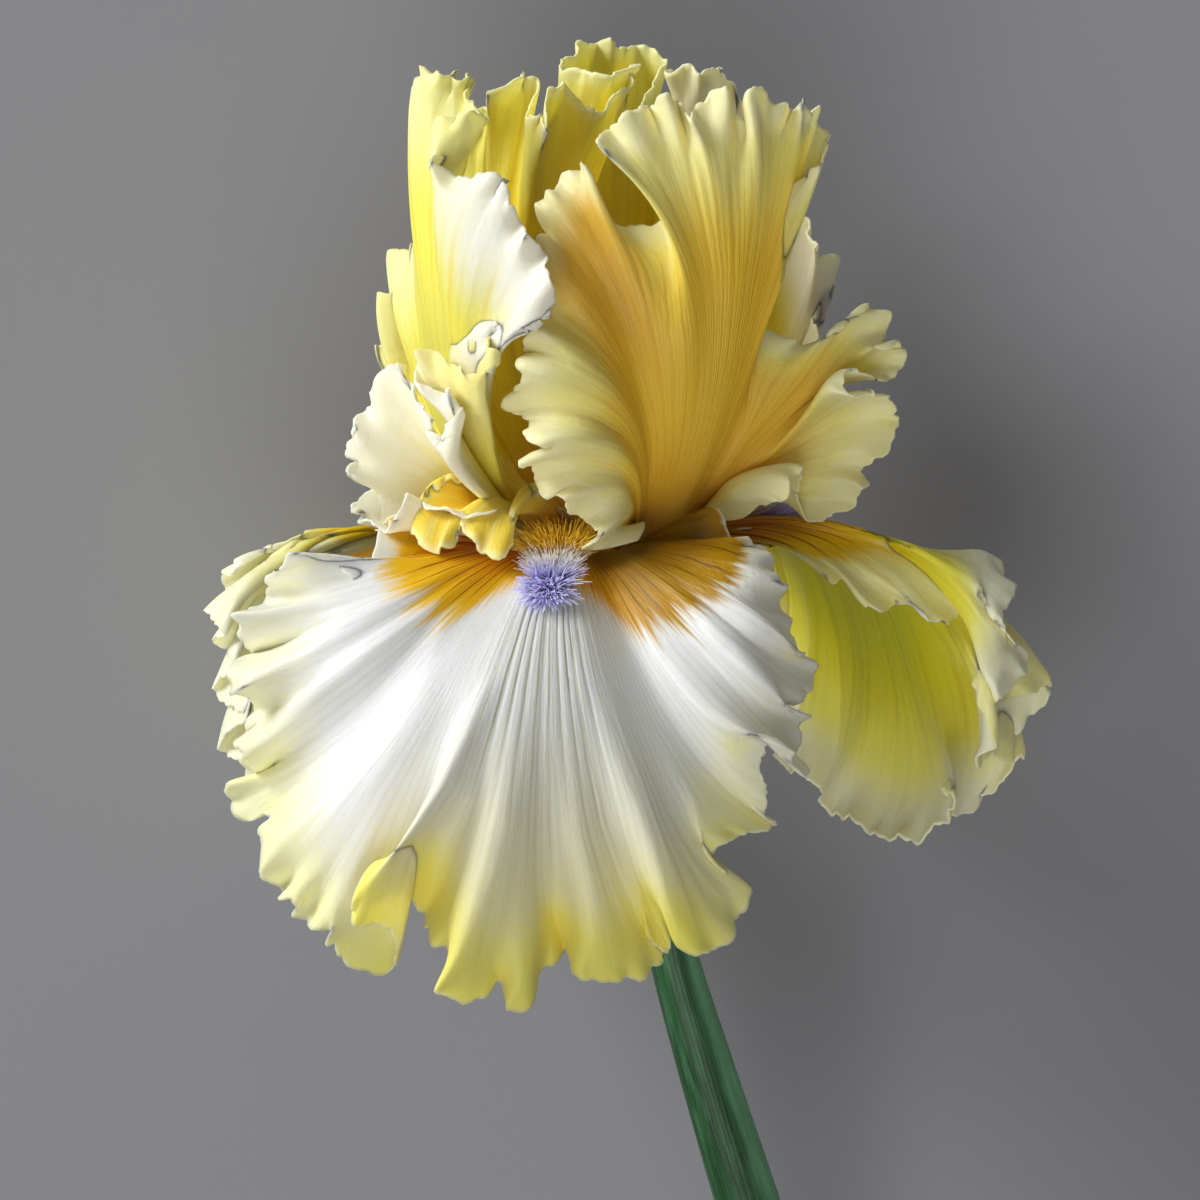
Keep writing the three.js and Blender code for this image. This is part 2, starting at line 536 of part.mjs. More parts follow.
function rod(from, to, radii, azimuth, flatten = 1) {
  const along = unit(sub(to, from));
  const rings = radii.map((r, i) => {
    const centre = mix(from, to, i / (radii.length - 1));
    const side = [1, 0, 0];
    const over = unit(cross(along, side));
    return steps(8).slice(0, 8).map((t) => {
      const a = t * 2 * Math.PI;
      return turned(add(add(centre, side, Math.cos(a) * r), over, Math.sin(a) * r * flatten), azimuth);
    });
  });
  return loft(rings);
}

const filament = (azimuth) => {
  const r = FILAMENT.radius;
  return rod(FILAMENT.from, FILAMENT.to, [r * 1.2, r, r * 0.8], azimuth);
};

const anther = (azimuth) => {
  const r = ANTHER.width;
  return rod(ANTHER.from, ANTHER.to, [r * 0.5, r, r, r * 0.5], azimuth, ANTHER.depth / ANTHER.width);
};

// The beard: a mound of short stiff hairs on the midrib of a fall's haft, seated on the blade.
function beard(grid, { from, to, width, height }) {
  const [rows, columns] = [grid.length - 1, grid[0].length - 1];
  const read = (g, t, s) => {
    const [c, r] = [Math.min(t * columns, columns - 1e-6), Math.min(s * rows, rows - 1e-6)];
    const [i, j] = [Math.floor(c), Math.floor(r)];
    return mix(mix(g[j][i], g[j][i + 1], c - i), mix(g[j + 1][i], g[j + 1][i + 1], c - i), r - j);
  };
  const normals = normalsOf(grid);
  const [long, wide] = [17, 7];
  const base = [];
  const top = [];
  steps(long).forEach((u, row) => {
    const s = from + (to - from) * u;
    const spread = length(sub(read(grid, 0.56, s), read(grid, 0.44, s))) / 0.12;
    const half = width * Math.sin(Math.PI * (0.08 + 0.86 * u)) ** 0.5;
    base.push([]);
    top.push([]);
    steps(wide).forEach((v, column) => {
      const k = v * 2 - 1;
      const p = read(grid, 0.5 + (k * half) / spread, s);
      const n = unit(read(normals, 0.5 + (k * half) / spread, s));
      const seat = PETAL_THICKNESS / 2 + GAP;
      const tuft = (row + column) % 2 ? 1 : 0.62;
      const rise = 0.4 + height * (1 - k * k) ** 0.6 * Math.sin(Math.PI * (0.1 + 0.85 * u)) * tuft;
      base[row].push(add(p, n, seat));
      top[row].push(add(p, n, seat + rise));
    });
  });
  return between(top, base);
}

// ---- The flower ----

const finish = (color, roughness) =>
  new THREE.MeshStandardMaterial({ color, roughness, metalness: 0, side: THREE.DoubleSide });
const MATERIALS = {
  fall: finish('#f4f3e4', 0.5),
  fallRear: finish('#d9d65a', 0.5),
  standard: finish('#efd24a', 0.5),
  standardPale: finish('#f3e9a8', 0.5),
  beard: finish('#e9dca8', 0.8),
  style: finish('#d39a2e', 0.55),
  stamen: finish('#efe6c4', 0.6),
  green: finish('#4f8f5c', 0.45),
  bract: finish('#8fa35f', 0.6),
};

const flower = new THREE.Group();

function piece(name, geometry, material) {
  const mesh = new THREE.Mesh(geometry, material);
  mesh.name = name;
  flower.add(mesh);
  return mesh;
}

const SHEETS = {
  fall_front: { petal: FALL_FRONT, columns: 68, rows: 9, material: MATERIALS.fall },
  fall_right: { petal: FALL_RIGHT, columns: 50, rows: 8, material: MATERIALS.fallRear },
  fall_left: { petal: FALL_LEFT, columns: 40, rows: 8, material: MATERIALS.fallRear },
  standard_right: { petal: STANDARD_RIGHT, columns: 70, rows: 8, material: MATERIALS.standard },
  standard_left: { petal: STANDARD_LEFT, columns: 56, rows: 7, material: MATERIALS.standardPale },
  standard_back: { petal: STANDARD_BACK, columns: 46, rows: 7, material: MATERIALS.standard },
};

const grids = {};
for (const [name, { petal, columns, rows, material }] of Object.entries(SHEETS)) {
  grids[name] = sheet(petal, columns, rows);
  piece(name, blade(grids[name], PETAL_THICKNESS), material);
}

const BEARDS = {
  front: { from: 0.13, to: 0.42, width: 3.4, height: 3.6 },
  right: { from: 0.13, to: 0.4, width: 3.2, height: 3.2 },
  left: { from: 0.13, to: 0.4, width: 3.2, height: 3.2 },
};

for (const [side, shape] of Object.entries(BEARDS)) {
  const { azimuth } = SHEETS[`fall_${side}`].petal;
  piece(`beard_${side}`, beard(grids[`fall_${side}`], shape), MATERIALS.beard);
  piece(`style_${side}`, styleArm(azimuth), MATERIALS.style);
  piece(`filament_${side}`, filament(azimuth), MATERIALS.stamen);
  piece(`anther_${side}`, anther(azimuth), MATERIALS.stamen);
}

piece('ovary_tube', ovaryTube(), MATERIALS.green);
piece('stem', stem(), MATERIALS.green);
const SPATHES = {
  spathe_outer: { azimuth: 80, radius: 6.1, from: 49.6, to: 9, bulge: 3.4, arc: 118 },
  spathe_inner: { azimuth: 260, radius: 5, from: 49.2, to: 14, bulge: 3.1, arc: 104 },
};
for (const [name, shape] of Object.entries(SPATHES))
  piece(name, spathe(shape), MATERIALS.bract);

// The middle of the box, at the table, becomes the origin.
const part = new THREE.Group();
part.add(flower);
const box = new THREE.Box3().setFromObject(flower, true);
flower.position.set(-(box.min.x + box.max.x) / 2, -(box.min.y + box.max.y) / 2, -box.min.z);

export default part;
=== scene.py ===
"""A cut flower of a ruffled tall bearded iris, lying on its back and seen from above.

The petals' rims and the flower's own frame are those of its solids: millimetres round the throat,
where the petals leave the tube, with +Y towards the tips of the standards and +Z towards the eye.
"""
import math

import bpy
import numpy as np
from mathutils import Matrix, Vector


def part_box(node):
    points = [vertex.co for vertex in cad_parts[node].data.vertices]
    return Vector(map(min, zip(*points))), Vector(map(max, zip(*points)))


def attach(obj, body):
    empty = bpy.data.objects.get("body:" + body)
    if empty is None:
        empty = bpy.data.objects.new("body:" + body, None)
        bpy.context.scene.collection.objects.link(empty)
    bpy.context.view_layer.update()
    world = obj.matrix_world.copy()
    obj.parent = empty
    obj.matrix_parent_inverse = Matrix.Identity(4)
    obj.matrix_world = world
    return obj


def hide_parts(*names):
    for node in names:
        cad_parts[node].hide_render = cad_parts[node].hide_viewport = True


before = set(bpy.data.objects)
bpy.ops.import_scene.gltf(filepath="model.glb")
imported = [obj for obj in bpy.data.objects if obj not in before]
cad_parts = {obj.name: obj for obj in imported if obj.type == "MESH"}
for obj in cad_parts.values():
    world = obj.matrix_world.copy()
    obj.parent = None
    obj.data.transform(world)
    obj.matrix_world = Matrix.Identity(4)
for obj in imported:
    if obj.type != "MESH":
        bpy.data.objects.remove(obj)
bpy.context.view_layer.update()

MM = 0.001

# ---- Driving dimensions, in millimetres ----

CLAW_RADIUS = 5.5
CLAW_ARC = 50  # degrees
VIEW = 960  # height of the eye over the throat
VIEW_AXIS = np.array([1.6, -4.0])  # where the line of sight meets the throat's level
VIEW_WIDTH = 192  # what the picture takes in at the throat's level
TUBE_LEAN = np.array([0.227, -1, -0.2])  # the way down the tube
TUBE_TILT = math.radians(10)
CUP_DEPTH, CUP_RADIUS = 0.6, 6.2  # the tube's mouth
ACROSS = [0, 0.12, 0.25, 0.38, 0.5, 0.62, 0.75, 0.88, 1]  # places of a row's points

# The throat, in the frame, from the box of the solid that has the tube's mouth at its top.
low, high = (np.array(corner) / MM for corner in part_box("ovary_tube"))
THROAT = np.array([
    low[0] + CUP_RADIUS - CUP_DEPTH * TUBE_LEAN[0],
    high[1] + CUP_DEPTH,
    high[2] - CUP_RADIUS * math.cos(TUBE_TILT) - CUP_DEPTH * TUBE_LEAN[2],
])


# ---- Curves ----

def seen(points):
    """Points as they are seen from the eye, carried along their lines of sight to their own heights."""
    points = np.array(points, float)
    shrink = (VIEW - points[..., 2:]) / VIEW
    points[..., :2] = VIEW_AXIS + (points[..., :2] - VIEW_AXIS) * shrink
    return points


def spline(points, knots, at):
    """A smooth curve through points that stand at rising knots, read at each place."""
    points, knots, at = np.asarray(points, float), np.asarray(knots, float), np.asarray(at, float)
    slope = np.empty_like(points)
    slope[1:-1] = (points[2:] - points[:-2]) / (knots[2:] - knots[:-2])[:, None]
    slope[0] = (points[1] - points[0]) / (knots[1] - knots[0])
    slope[-1] = (points[-1] - points[-2]) / (knots[-1] - knots[-2])
    i = np.clip(np.searchsorted(knots, at, side="right") - 1, 0, len(points) - 2)
    span = (knots[i + 1] - knots[i])[..., None]
    u = (at - knots[i])[..., None] / span
    rise = u * u * (3 - 2 * u)
    return (points[i] * (1 - rise) + points[i + 1] * rise
            + span * u * (1 - u) * (slope[i] * (1 - u) - slope[i + 1] * u))


def eased(curve, sigma):
    """A curve of evenly read points blurred over a number of them, with its two ends held."""
    reach = int(3 * sigma) + 1
    weights = np.exp(-0.5 * (np.arange(-reach, reach + 1) / sigma) ** 2)
    weights /= weights.sum()
    head = 2 * curve[0] - curve[reach:0:-1]
    tail = 2 * curve[-1] - curve[-2:-reach - 2:-1]
    padded = np.concatenate([head, curve, tail])
    return np.stack([np.convolve(padded[:, k], weights, "valid") for k in range(3)], 1)


def bezier(rows, s):
    """Rows of points blended as a Bezier curve does, one grid row for each s."""
    last = len(rows) - 1
    return sum(
        (math.comb(last, i) * (1 - s) ** (last - i) * s ** i)[:, None, None] * row[None]
        for i, row in enumerate(rows))


def unit(vectors):
    """Vectors of length one."""
    return vectors / np.maximum(np.linalg.norm(vectors, axis=-1, keepdims=True), 1e-9)


def normals_of(grid):
    """The way off a grid at each of its points."""
    return unit(np.cross(np.gradient(grid, axis=1), np.gradient(grid, axis=0)))


def run_of(curve):
    """The length run along a curve up to each of its points."""
    return np.concatenate([[0], np.cumsum(np.linalg.norm(np.diff(curve, axis=0), axis=1))])


def wavy(run, wave, rng, waves=6):
    """An uneven wave of about that length, near one in height."""
    total = np.zeros_like(run)
    for _ in range(waves):
        pitch = wave * rng.uniform(0.65, 1.5)
        total += rng.uniform(0.5, 1) * np.sin(2 * np.pi * (run / pitch + rng.uniform()))
    return total / math.sqrt(waves)


def scallops(run, wave, rng):
    """Round lobes of about that length, with sharper notches between them."""
    phase = run / wave + 0.35 * wavy(run, wave * 3, rng)
    return np.abs(np.sin(np.pi * phase)) ** 0.7 - 0.7


def ramp(values, start, end):
    """0 up to start, 1 from end on, and smooth between."""
    u = np.clip((values - start) / (end - start), 0, 1)
    return u * u * (3 - 2 * u)


# ---- Sheets ----

RIM_SAMPLES = 2401
CROWDING = 0.7  # under 1, places along the rim crowd where its points stand close
BORDER = np.array([0.94, 0.97, 1])  # rows that say which way the rim faces
SHOULDER = 0.05  # share of the rim, at each of its ends, over which its frills come up
EASING = [0, 0.5, 1, 1.7, 2.6, 3.8, 5.5, 8, 11, 15, 20]  # lengths over which the rim is eased
# How much easing grows for each millimetre in from the rim, so that short frills fade before long folds.
BEND_SPREAD = 0.8
RUFFLE_SPREAD = [[0, 0.45], [1, 0.45]]  # at places across the blade
FRILLS = [(7.5, 1.0), (3, 0.25)]  # wave length, height off the blade
SCALLOPS = [(6.5, 0.7), (3, 0.45), (1.5, 0.18)]  # wave length, depth of the notches between round lobes


def claw(petal):
    """A petal's first row, on the round mouth of the tube."""
    turn = np.radians(petal["azimuth"] + (np.array(ACROSS) - 0.5) * petal["hand"] * CLAW_ARC)
    return petal.get("claw", CLAW_RADIUS) * np.stack([np.sin(turn), 0 * turn, np.cos(turn)], 1)


def to_rim(grid):
    """How far each point of a grid is from its last row, along its column."""
    steps = np.linalg.norm(np.diff(grid, axis=0), axis=2)
    return np.concatenate([np.cumsum(steps[::-1], axis=0)[::-1], np.zeros((1, grid.shape[1]))])


def places_on(s, t, inward):
    """What a finish reads at each point of a grid: across the blade, along it, and in from the rim."""
    return np.stack(np.broadcast_arrays(t, s[:, None], inward), -1)


def sheet(petal, s, t, seed):
    """A petal's blade as a grid of points, with how far each one is from the rim."""
    rng = np.random.default_rng(seed)
    rim = seen(petal["rim"])
    run = np.concatenate([[0], np.cumsum(np.linalg.norm(np.diff(rim, axis=0), axis=1) ** CROWDING)])
    tip = run[petal["tip"]]
    knots = np.where(run <= tip, 0.5 * run / tip, 0.5 + 0.5 * (run - tip) / (run[-1] - tip))
    places = np.linspace(0, 1, RIM_SAMPLES)
    edge = spline(rim, knots, places)
    sample = run_of(edge)[-1] / RIM_SAMPLES
    plain = eased(edge, EASING[-1] / sample)
    rows = [claw(petal)] + [seen(row) for row in petal["rows"]]
    across = [spline(row, ACROSS, places) for row in rows]
    # The small frills of the rim, square to the plain blade and outwards along it.
    border = bezier(across + [plain], BORDER)
    off = normals_of(border)[-1]
    outward = unit(border[-1] - border[-2])
    along = run_of(edge)
    held = ramp(np.minimum(places, 1 - places), 0, SHOULDER)
    for wave, lift in petal.get("frills", FRILLS):
        edge = edge + off * (held * lift * wavy(along, wave, rng))[:, None]
    for wave, depth in SCALLOPS:
        edge = edge + outward * (held * depth * scallops(along, wave, rng))[:, None]
    eases = [edge] + [eased(edge, length / sample) for length in EASING[1:]]

    def read(curve):
        return np.stack([np.interp(t, places, curve[:, k]) for k in range(3)], 1)

    eases = np.stack([read(curve) for curve in eases])
    base = bezier([read(curve) for curve in across] + [eases[-1]], s)
    inward = to_rim(base)
    column = np.arange(len(t))[None]

    def fold(spread):
        level = np.interp(inward * spread, EASING, np.arange(len(EASING)))
        below = np.minimum(level.astype(int), len(EASING) - 2)
        part = (level - below)[..., None]
        return eases[below, column] * (1 - part) + eases[below + 1, column] * part - eases[-1]

    # Bends within the blade stay near the rim, and the ruffles square to it run further in.
    spots, spread = np.array(petal.get("spread", RUFFLE_SPREAD)).T
    near, far = fold(BEND_SPREAD), fold(np.interp(t, spots, spread))
    normal = normals_of(base)
    ruffle = np.sum((far - near) * normal, axis=2, keepdims=True) * normal
    return base + near + ruffle, inward


COLUMN_STEP = 3  # the blade's inner rows have a third of the rim's columns


def add_fact(mesh, name, values):
    """A named number, or three of them, for each point of a mesh."""
    three = values.size > len(mesh.vertices)
    layer = mesh.attributes.new(name, "FLOAT_VECTOR" if three else "FLOAT", "POINT")
    layer.data.foreach_set("vector" if three else "value", values.astype(np.float32).ravel())


def new_mesh(name, points, faces):
    """A smooth mesh from points in the flower's own frame."""
    mesh = bpy.data.meshes.new(name)
    mesh.from_pydata(((points.reshape(-1, 3) + THROAT) * MM).tolist(), [], faces)
    mesh.polygons.foreach_set("use_smooth", [True] * len(mesh.polygons))
    return mesh


def quads(index):
    """The four corners of each cell of a grid of point numbers."""
    return np.stack([index[:-1, :-1], index[:-1, 1:], index[1:, 1:], index[1:, :-1]], -1).reshape(-1, 4)


def blade_mesh(name, grid, thickness, fine_from, facts, front):
    """A thin closed blade round a grid. Rows before fine_from keep one column in three.

    facts are the point attributes of the grid, and the sheet's own face is on the side that front says.
    """
    rows, columns = grid.shape[:2]
    normal = normals_of(grid) * front
    kept = np.ones((rows, columns), bool)
    kept[:fine_from] = np.arange(columns) % COLUMN_STEP == 0
    index = np.cumsum(kept).reshape(rows, columns) - 1
    count = int(kept.sum())
    half = thickness[..., None] / 2 * normal
    points = np.concatenate([(grid + half)[kept], (grid - half)[kept]])
    coarse = index[:fine_from, ::COLUMN_STEP]
    fine = index[fine_from:]
    faces = [*quads(coarse).tolist(), *quads(fine).tolist()]
    if 0 < fine_from < rows:
        first = fine[0]
        for c in range(0, columns - 1, COLUMN_STEP):
            inner = index[fine_from - 1, [c, c + COLUMN_STEP]].tolist()
            faces.append(inner + first[c:c + COLUMN_STEP + 1][::-1].tolist())
    if front < 0:
        faces = [face[::-1] for face in faces]
    back = [[i + count for i in face[::-1]] for face in faces]
    start = index[0, ::COLUMN_STEP] if fine_from else index[0]
    loop = np.concatenate([start[:-1], index[:-1, -1], index[-1, ::-1][:-1], index[1:, 0][::-1]])
    if front < 0:
        loop = loop[::-1]
    following = np.roll(loop, -1)
    walls = np.stack([following, loop, loop + count, following + count], 1).tolist()
    mesh = new_mesh(name, points, faces + back + walls)
    for fact, values in facts.items():
        add_fact(mesh, fact, np.concatenate([values[kept], values[kept]]))
    add_fact(mesh, "under", np.repeat([0.0, 1.0], count))
    return mesh


# ---- The petals ----
# rim: the frilled edge from shoulder to shoulder, [across, along, up] as seen from VIEW.
# tip: the rim point at the end of the midrib.
# rows: across the petal, from the claw outwards; they steer the blade as a Bezier curve does.
# azimuth: where the claw stands, from the front (+Z) towards +X; hand: +1 where the rim runs that way.
# frills and spread: in place of FRILLS and RUFFLE_SPREAD; claw: in place of CLAW_RADIUS.

# The front fall: it arches out of the throat and hangs in front, wider than it is long.
FALL_FRONT = {
    "azimuth": -17, "hand": 1, "tip": 48,
    "rim": [
        [-27.2, 9.8, 22], [-32.8, 8.8, 26], [-35.8, 0.8, 33], [-39.2, 0, 34], [-41.6, 3, 30],
        [-43.5, -2.4, 26], [-46.6, 3.5, 34], [-48.8, 2.4, 36], [-51.7, -1.4, 30], [-52.5, -4, 26],
        [-56.8, -5.9, 33], [-56, -10.4, 30], [-52.5, -12.8, 24], [-57.4, -14.9, 30], [-57.9, -19.2, 34],
        [-54.1, -20.5, 28], [-55, -25.6, 24], [-56.6, -28.3, 30], [-54.4, -31.5, 25], [-51.8, -32.2, 22],
        [-57.6, -33.1, 20], [-57.8, -36, 16], [-55, -39.5, 18], [-51.5, -37.9, 24], [-52.5, -40.8, 30],
        [-52.8, -46.6, 34], [-50.4, -50.4, 30], [-47.5, -52.6, 36], [-46.9, -54.9, 30],
        [-42.2, -57.3, 38], [-41.6, -59.2, 32], [-39.2, -61.9, 28], [-33.4, -64, 26], [-31, -61.6, 32],
        [-32.8, -56, 40], [-38, -56, 46], [-37.4, -50.4, 48], [-34.9, -46.9, 46], [-31.7, -50.4, 40],
        [-28.5, -52.5, 36], [-26.6, -54.4, 32], [-25.9, -57.6, 38], [-22.4, -61.6, 44],
        [-24.6, -66.4, 46], [-19.4, -68.5, 42], [-14.4, -65.6, 38], [-13, -70, 40], [-9.3, -68.5, 38],
        [-8, -64, 34], [-3.7, -60.5, 30], [-2.4, -64, 36], [2.6, -65.1, 36], [7.7, -64.5, 32],
        [11.8, -61.6, 28], [9.3, -58.1, 34], [12.6, -60.8, 30], [12.6, -54.6, 38], [14.4, -60, 40],
        [20.8, -59.7, 36], [25.4, -50.4, 30], [19.5, -45.9, 36], [23.2, -42.1, 34], [30.2, -40.2, 26],
        [28, -38.4, 30], [28.5, -34.4, 34], [26.9, -30.4, 38], [30.1, -26.1, 40], [34.6, -32.5, 34],
        [33.6, -26.4, 28], [34.9, -23, 32], [31.5, -21.6, 36], [35.8, -17, 24], [34.6, -13, 28],
        [33.3, -12.2, 34], [31.8, -4.8, 28], [30.9, -0.8, 32], [27.2, 3.5, 24], [25.1, 5.3, 26],
        [23.7, 4.3, 22], [20.3, 10.7, 20], [16, 7.2, 16],
    ],
    "rows": [
        [[-8, 1.5, 12], [-9, 8, 18], [-8.5, 11, 20], [-7.5, 12, 21], [-6.5, 12, 21], [-5, 12, 21],
         [-3, 11, 20], [1, 8, 17], [5, 1.5, 10]],
        [[-14, 4, 17], [-20, 4, 38], [-17, -3, 47], [-13, -4, 50], [-8, -4, 50], [-3, -4, 49],
         [4, -3, 39], [10, 4, 34], [10, 4, 13]],
        [[-21, 8, 20], [-34, -7, 44], [-34, -31, 52], [-24, -42, 56], [-8, -43, 56], [5, -42, 51],
         [16, -31, 40], [25, -9, 52], [16, 8.5, 17]],
    ],
}

# The right standard: its back faces the front, with a deep bay in its top left edge.
STANDARD_RIGHT = {
    "azimuth": 50, "hand": 1, "tip": 45, "frills": [(7.5, 1.3), (3, 0.3)],
    "rim": [
        [7.7, 5.5, 22], [3.5, 4.4, 24], [0, 4, 26.5], [-1.1, 4.2, 28], [1.3, 5.9, 29], [-0.6, 8.8, 26],
        [-3, 9.6, 28], [-4.5, 12.5, 32], [-6.2, 12.2, 30], [-8.2, 13.8, 28], [-9.1, 16.8, 30],
        [-10.9, 18.4, 34], [-7.5, 20.2, 37], [-10.7, 22.6, 36], [-9.9, 24.8, 32], [-13.6, 26.7, 30],
        [-12.5, 29.9, 33], [-10.9, 32, 36], [-11, 36, 33], [-9.6, 39.2, 36], [-12, 40.5, 32],
        [-8.8, 44, 28], [-9.6, 48.8, 30], [-7.8, 53.6, 30], [-8.3, 57.6, 27], [-6.9, 61.6, 30],
        [-4, 63.5, 27], [-1, 65.9, 30], [-0.5, 62.4, 29], [1.6, 57.6, 28], [5.1, 55.7, 27],
        [9.6, 56.5, 27], [12.3, 58.1, 27], [10.6, 61.6, 28], [7.2, 65.3, 30], [1.1, 69, 34],
        [3.2, 71.8, 30], [6.1, 74.2, 32], [9.3, 74.9, 27], [11.4, 76.5, 31], [14.1, 76, 27],
        [15.8, 73.3, 32], [17.6, 75.7, 28], [21.1, 77.8, 29], [22.9, 75, 26], [24.5, 72, 25],
        [25.6, 74.1, 27], [24.8, 77.3, 30], [27.5, 77.8, 27], [29.8, 75.7, 24], [32.8, 74.7, 21],
        [33.8, 76, 24], [35.4, 73.9, 20], [36.5, 74.9, 17], [37.1, 72, 15], [38.1, 69.3, 20],
        [37.1, 66.1, 24], [33.6, 63.7, 22], [30.9, 60, 19], [28, 54.4, 17], [26.9, 48, 15],
        [27.8, 41.6, 13], [30.9, 37.9, 12], [34.6, 37.1, 12], [40, 39.2, 12], [45.1, 43.2, 10],
        [47.8, 40, 8], [47, 36, 12], [49.8, 37.3, 9], [50.4, 34.1, 6], [47.2, 31, 10], [44.5, 32.2, 15],
        [40.8, 33, 18], [41.4, 29.1, 19], [45.1, 29.1, 16], [48, 28.6, 11], [48.8, 26.2, 8],
        [49.4, 24.5, 5], [47, 19.2, 8], [43.5, 16.8, 5], [44.3, 14.4, 8], [41.9, 11.2, 5], [36, 8.6, 4],
        [33.3, 12.8, 8], [34.1, 16.8, 14], [32.3, 15.7, 17], [31.2, 12, 19], [27.5, 11.2, 15],
        [24, 9, 14], [20, 9, 10],
    ],
    "rows": [
        [[5, 5, 7], [8, 7, 8], [11, 7, 9.5], [14, 6.5, 11], [16, 6, 11], [16, 6.5, 9.5], [15, 7, 7.5],
         [12, 6.5, 5.5], [8, 5, 4]],
        [[9, 11, 12], [14, 22, 27], [17, 28, 31], [21, 29, 30], [25, 28, 27], [27, 26, 22], [30, 23, 16],
         [28, 18, 11], [13, 10, 6]],
        [[10, 9, 19], [2, 25, 38], [0, 47, 37], [19, 51, 33], [25, 52, 29], [29, 50, 21], [37, 38, 14],
         [38, 23, 6], [17, 11, 9]],
    ],
}

# The left standard: its front edge curls forward over a low fan of frills.
STANDARD_LEFT = {
    "azimuth": -74, "hand": -1, "tip": 48, "frills": [(8, 1.5), (3.2, 0.5)],
    "spread": [[0, 0.6], [0.1, 0.4], [0.2, 0.28], [0.38, 0.45], [0.62, 0.45], [0.76, 0.32], [1, 0.28]],
    "rim": [
        [-13.6, 11.2, 24], [-16.3, 9.8, 29], [-20.5, 9.6, 30], [-25.3, 10.4, 29], [-28.5, 12.3, 25],
        [-32.6, 8.2, 30], [-34.9, 8.8, 27], [-37.9, 10.7, 21], [-35.5, 14.1, 17], [-37.4, 16.8, 19],
        [-38.7, 19.2, 16], [-37.4, 22.7, 18], [-36.3, 26.1, 16], [-34.4, 30.9, 18], [-31.2, 34.2, 20],
        [-27.5, 28.3, 28], [-23.5, 21.9, 33], [-21.4, 26.1, 35], [-22.4, 29.6, 33], [-26.7, 30.4, 29],
        [-28.5, 32.8, 25], [-26.4, 36, 28], [-19.2, 32.3, 36], [-15.7, 34.4, 37], [-15.2, 37.6, 34],
        [-19.2, 37.1, 28], [-21.1, 40, 24], [-14.4, 40.8, 33], [-8.3, 40.5, 40], [-6.2, 43.5, 41],
        [-6.6, 48, 41], [-8, 52.8, 40], [-10.1, 54.4, 38], [-12.2, 58.4, 37], [-13.1, 62.4, 34],
        [-14.9, 64.3, 36], [-19.2, 63.5, 32], [-24.5, 65.8, 30], [-24, 68, 26], [-24.3, 71.5, 24],
        [-20, 73.9, 27], [-17, 73.4, 22], [-17.9, 74.1, 16], [-19.5, 77.1, 12], [-18.9, 80, 9],
        [-20.8, 79.5, 12], [-21.6, 80.8, 9], [-23.2, 80, 12], [-26.6, 81.1, 8], [-27.7, 77.9, 4],
        [-25.6, 72, 2], [-25, 66.4, 0], [-26.6, 61.6, -6], [-25.3, 57.6, -10], [-24.6, 54.4, -8],
        [-29.6, 52.8, -12], [-29.1, 49.6, -18], [-26.4, 45.6, -16], [-30.9, 45, -12], [-32.6, 43.5, -18],
        [-30.4, 40.8, -20], [-29.3, 39.8, -16], [-32.3, 36.8, -18], [-32.3, 35.5, -22], [-30, 28, -20],
        [-31, 22, -22], [-28, 18, -18],
    ],
    "rows": [
        [[-7, 4, 8], [-9, 6, 8.5], [-10, 7, 8], [-11, 7.5, 7], [-12, 8, 5.5], [-12.5, 8, 4],
         [-12.5, 7.5, 2.5], [-12, 7, 1], [-10, 5, -1]],
        [[-11, 9, 14], [-20, 14, 24], [-20, 20, 26], [-25, 25, 21], [-30, 26, 13], [-33, 25, 2],
         [-31, 24, -5], [-26, 20, -7], [-18, 12, -4]],
        [[-13, 11, 20], [-31, 18, 26], [-19, 32, 33], [-24, 50, 33], [-28, 56, 12], [-28, 52, 0],
         [-31, 40, -12], [-31, 28, -18], [-26, 16, -12]],
    ],
}

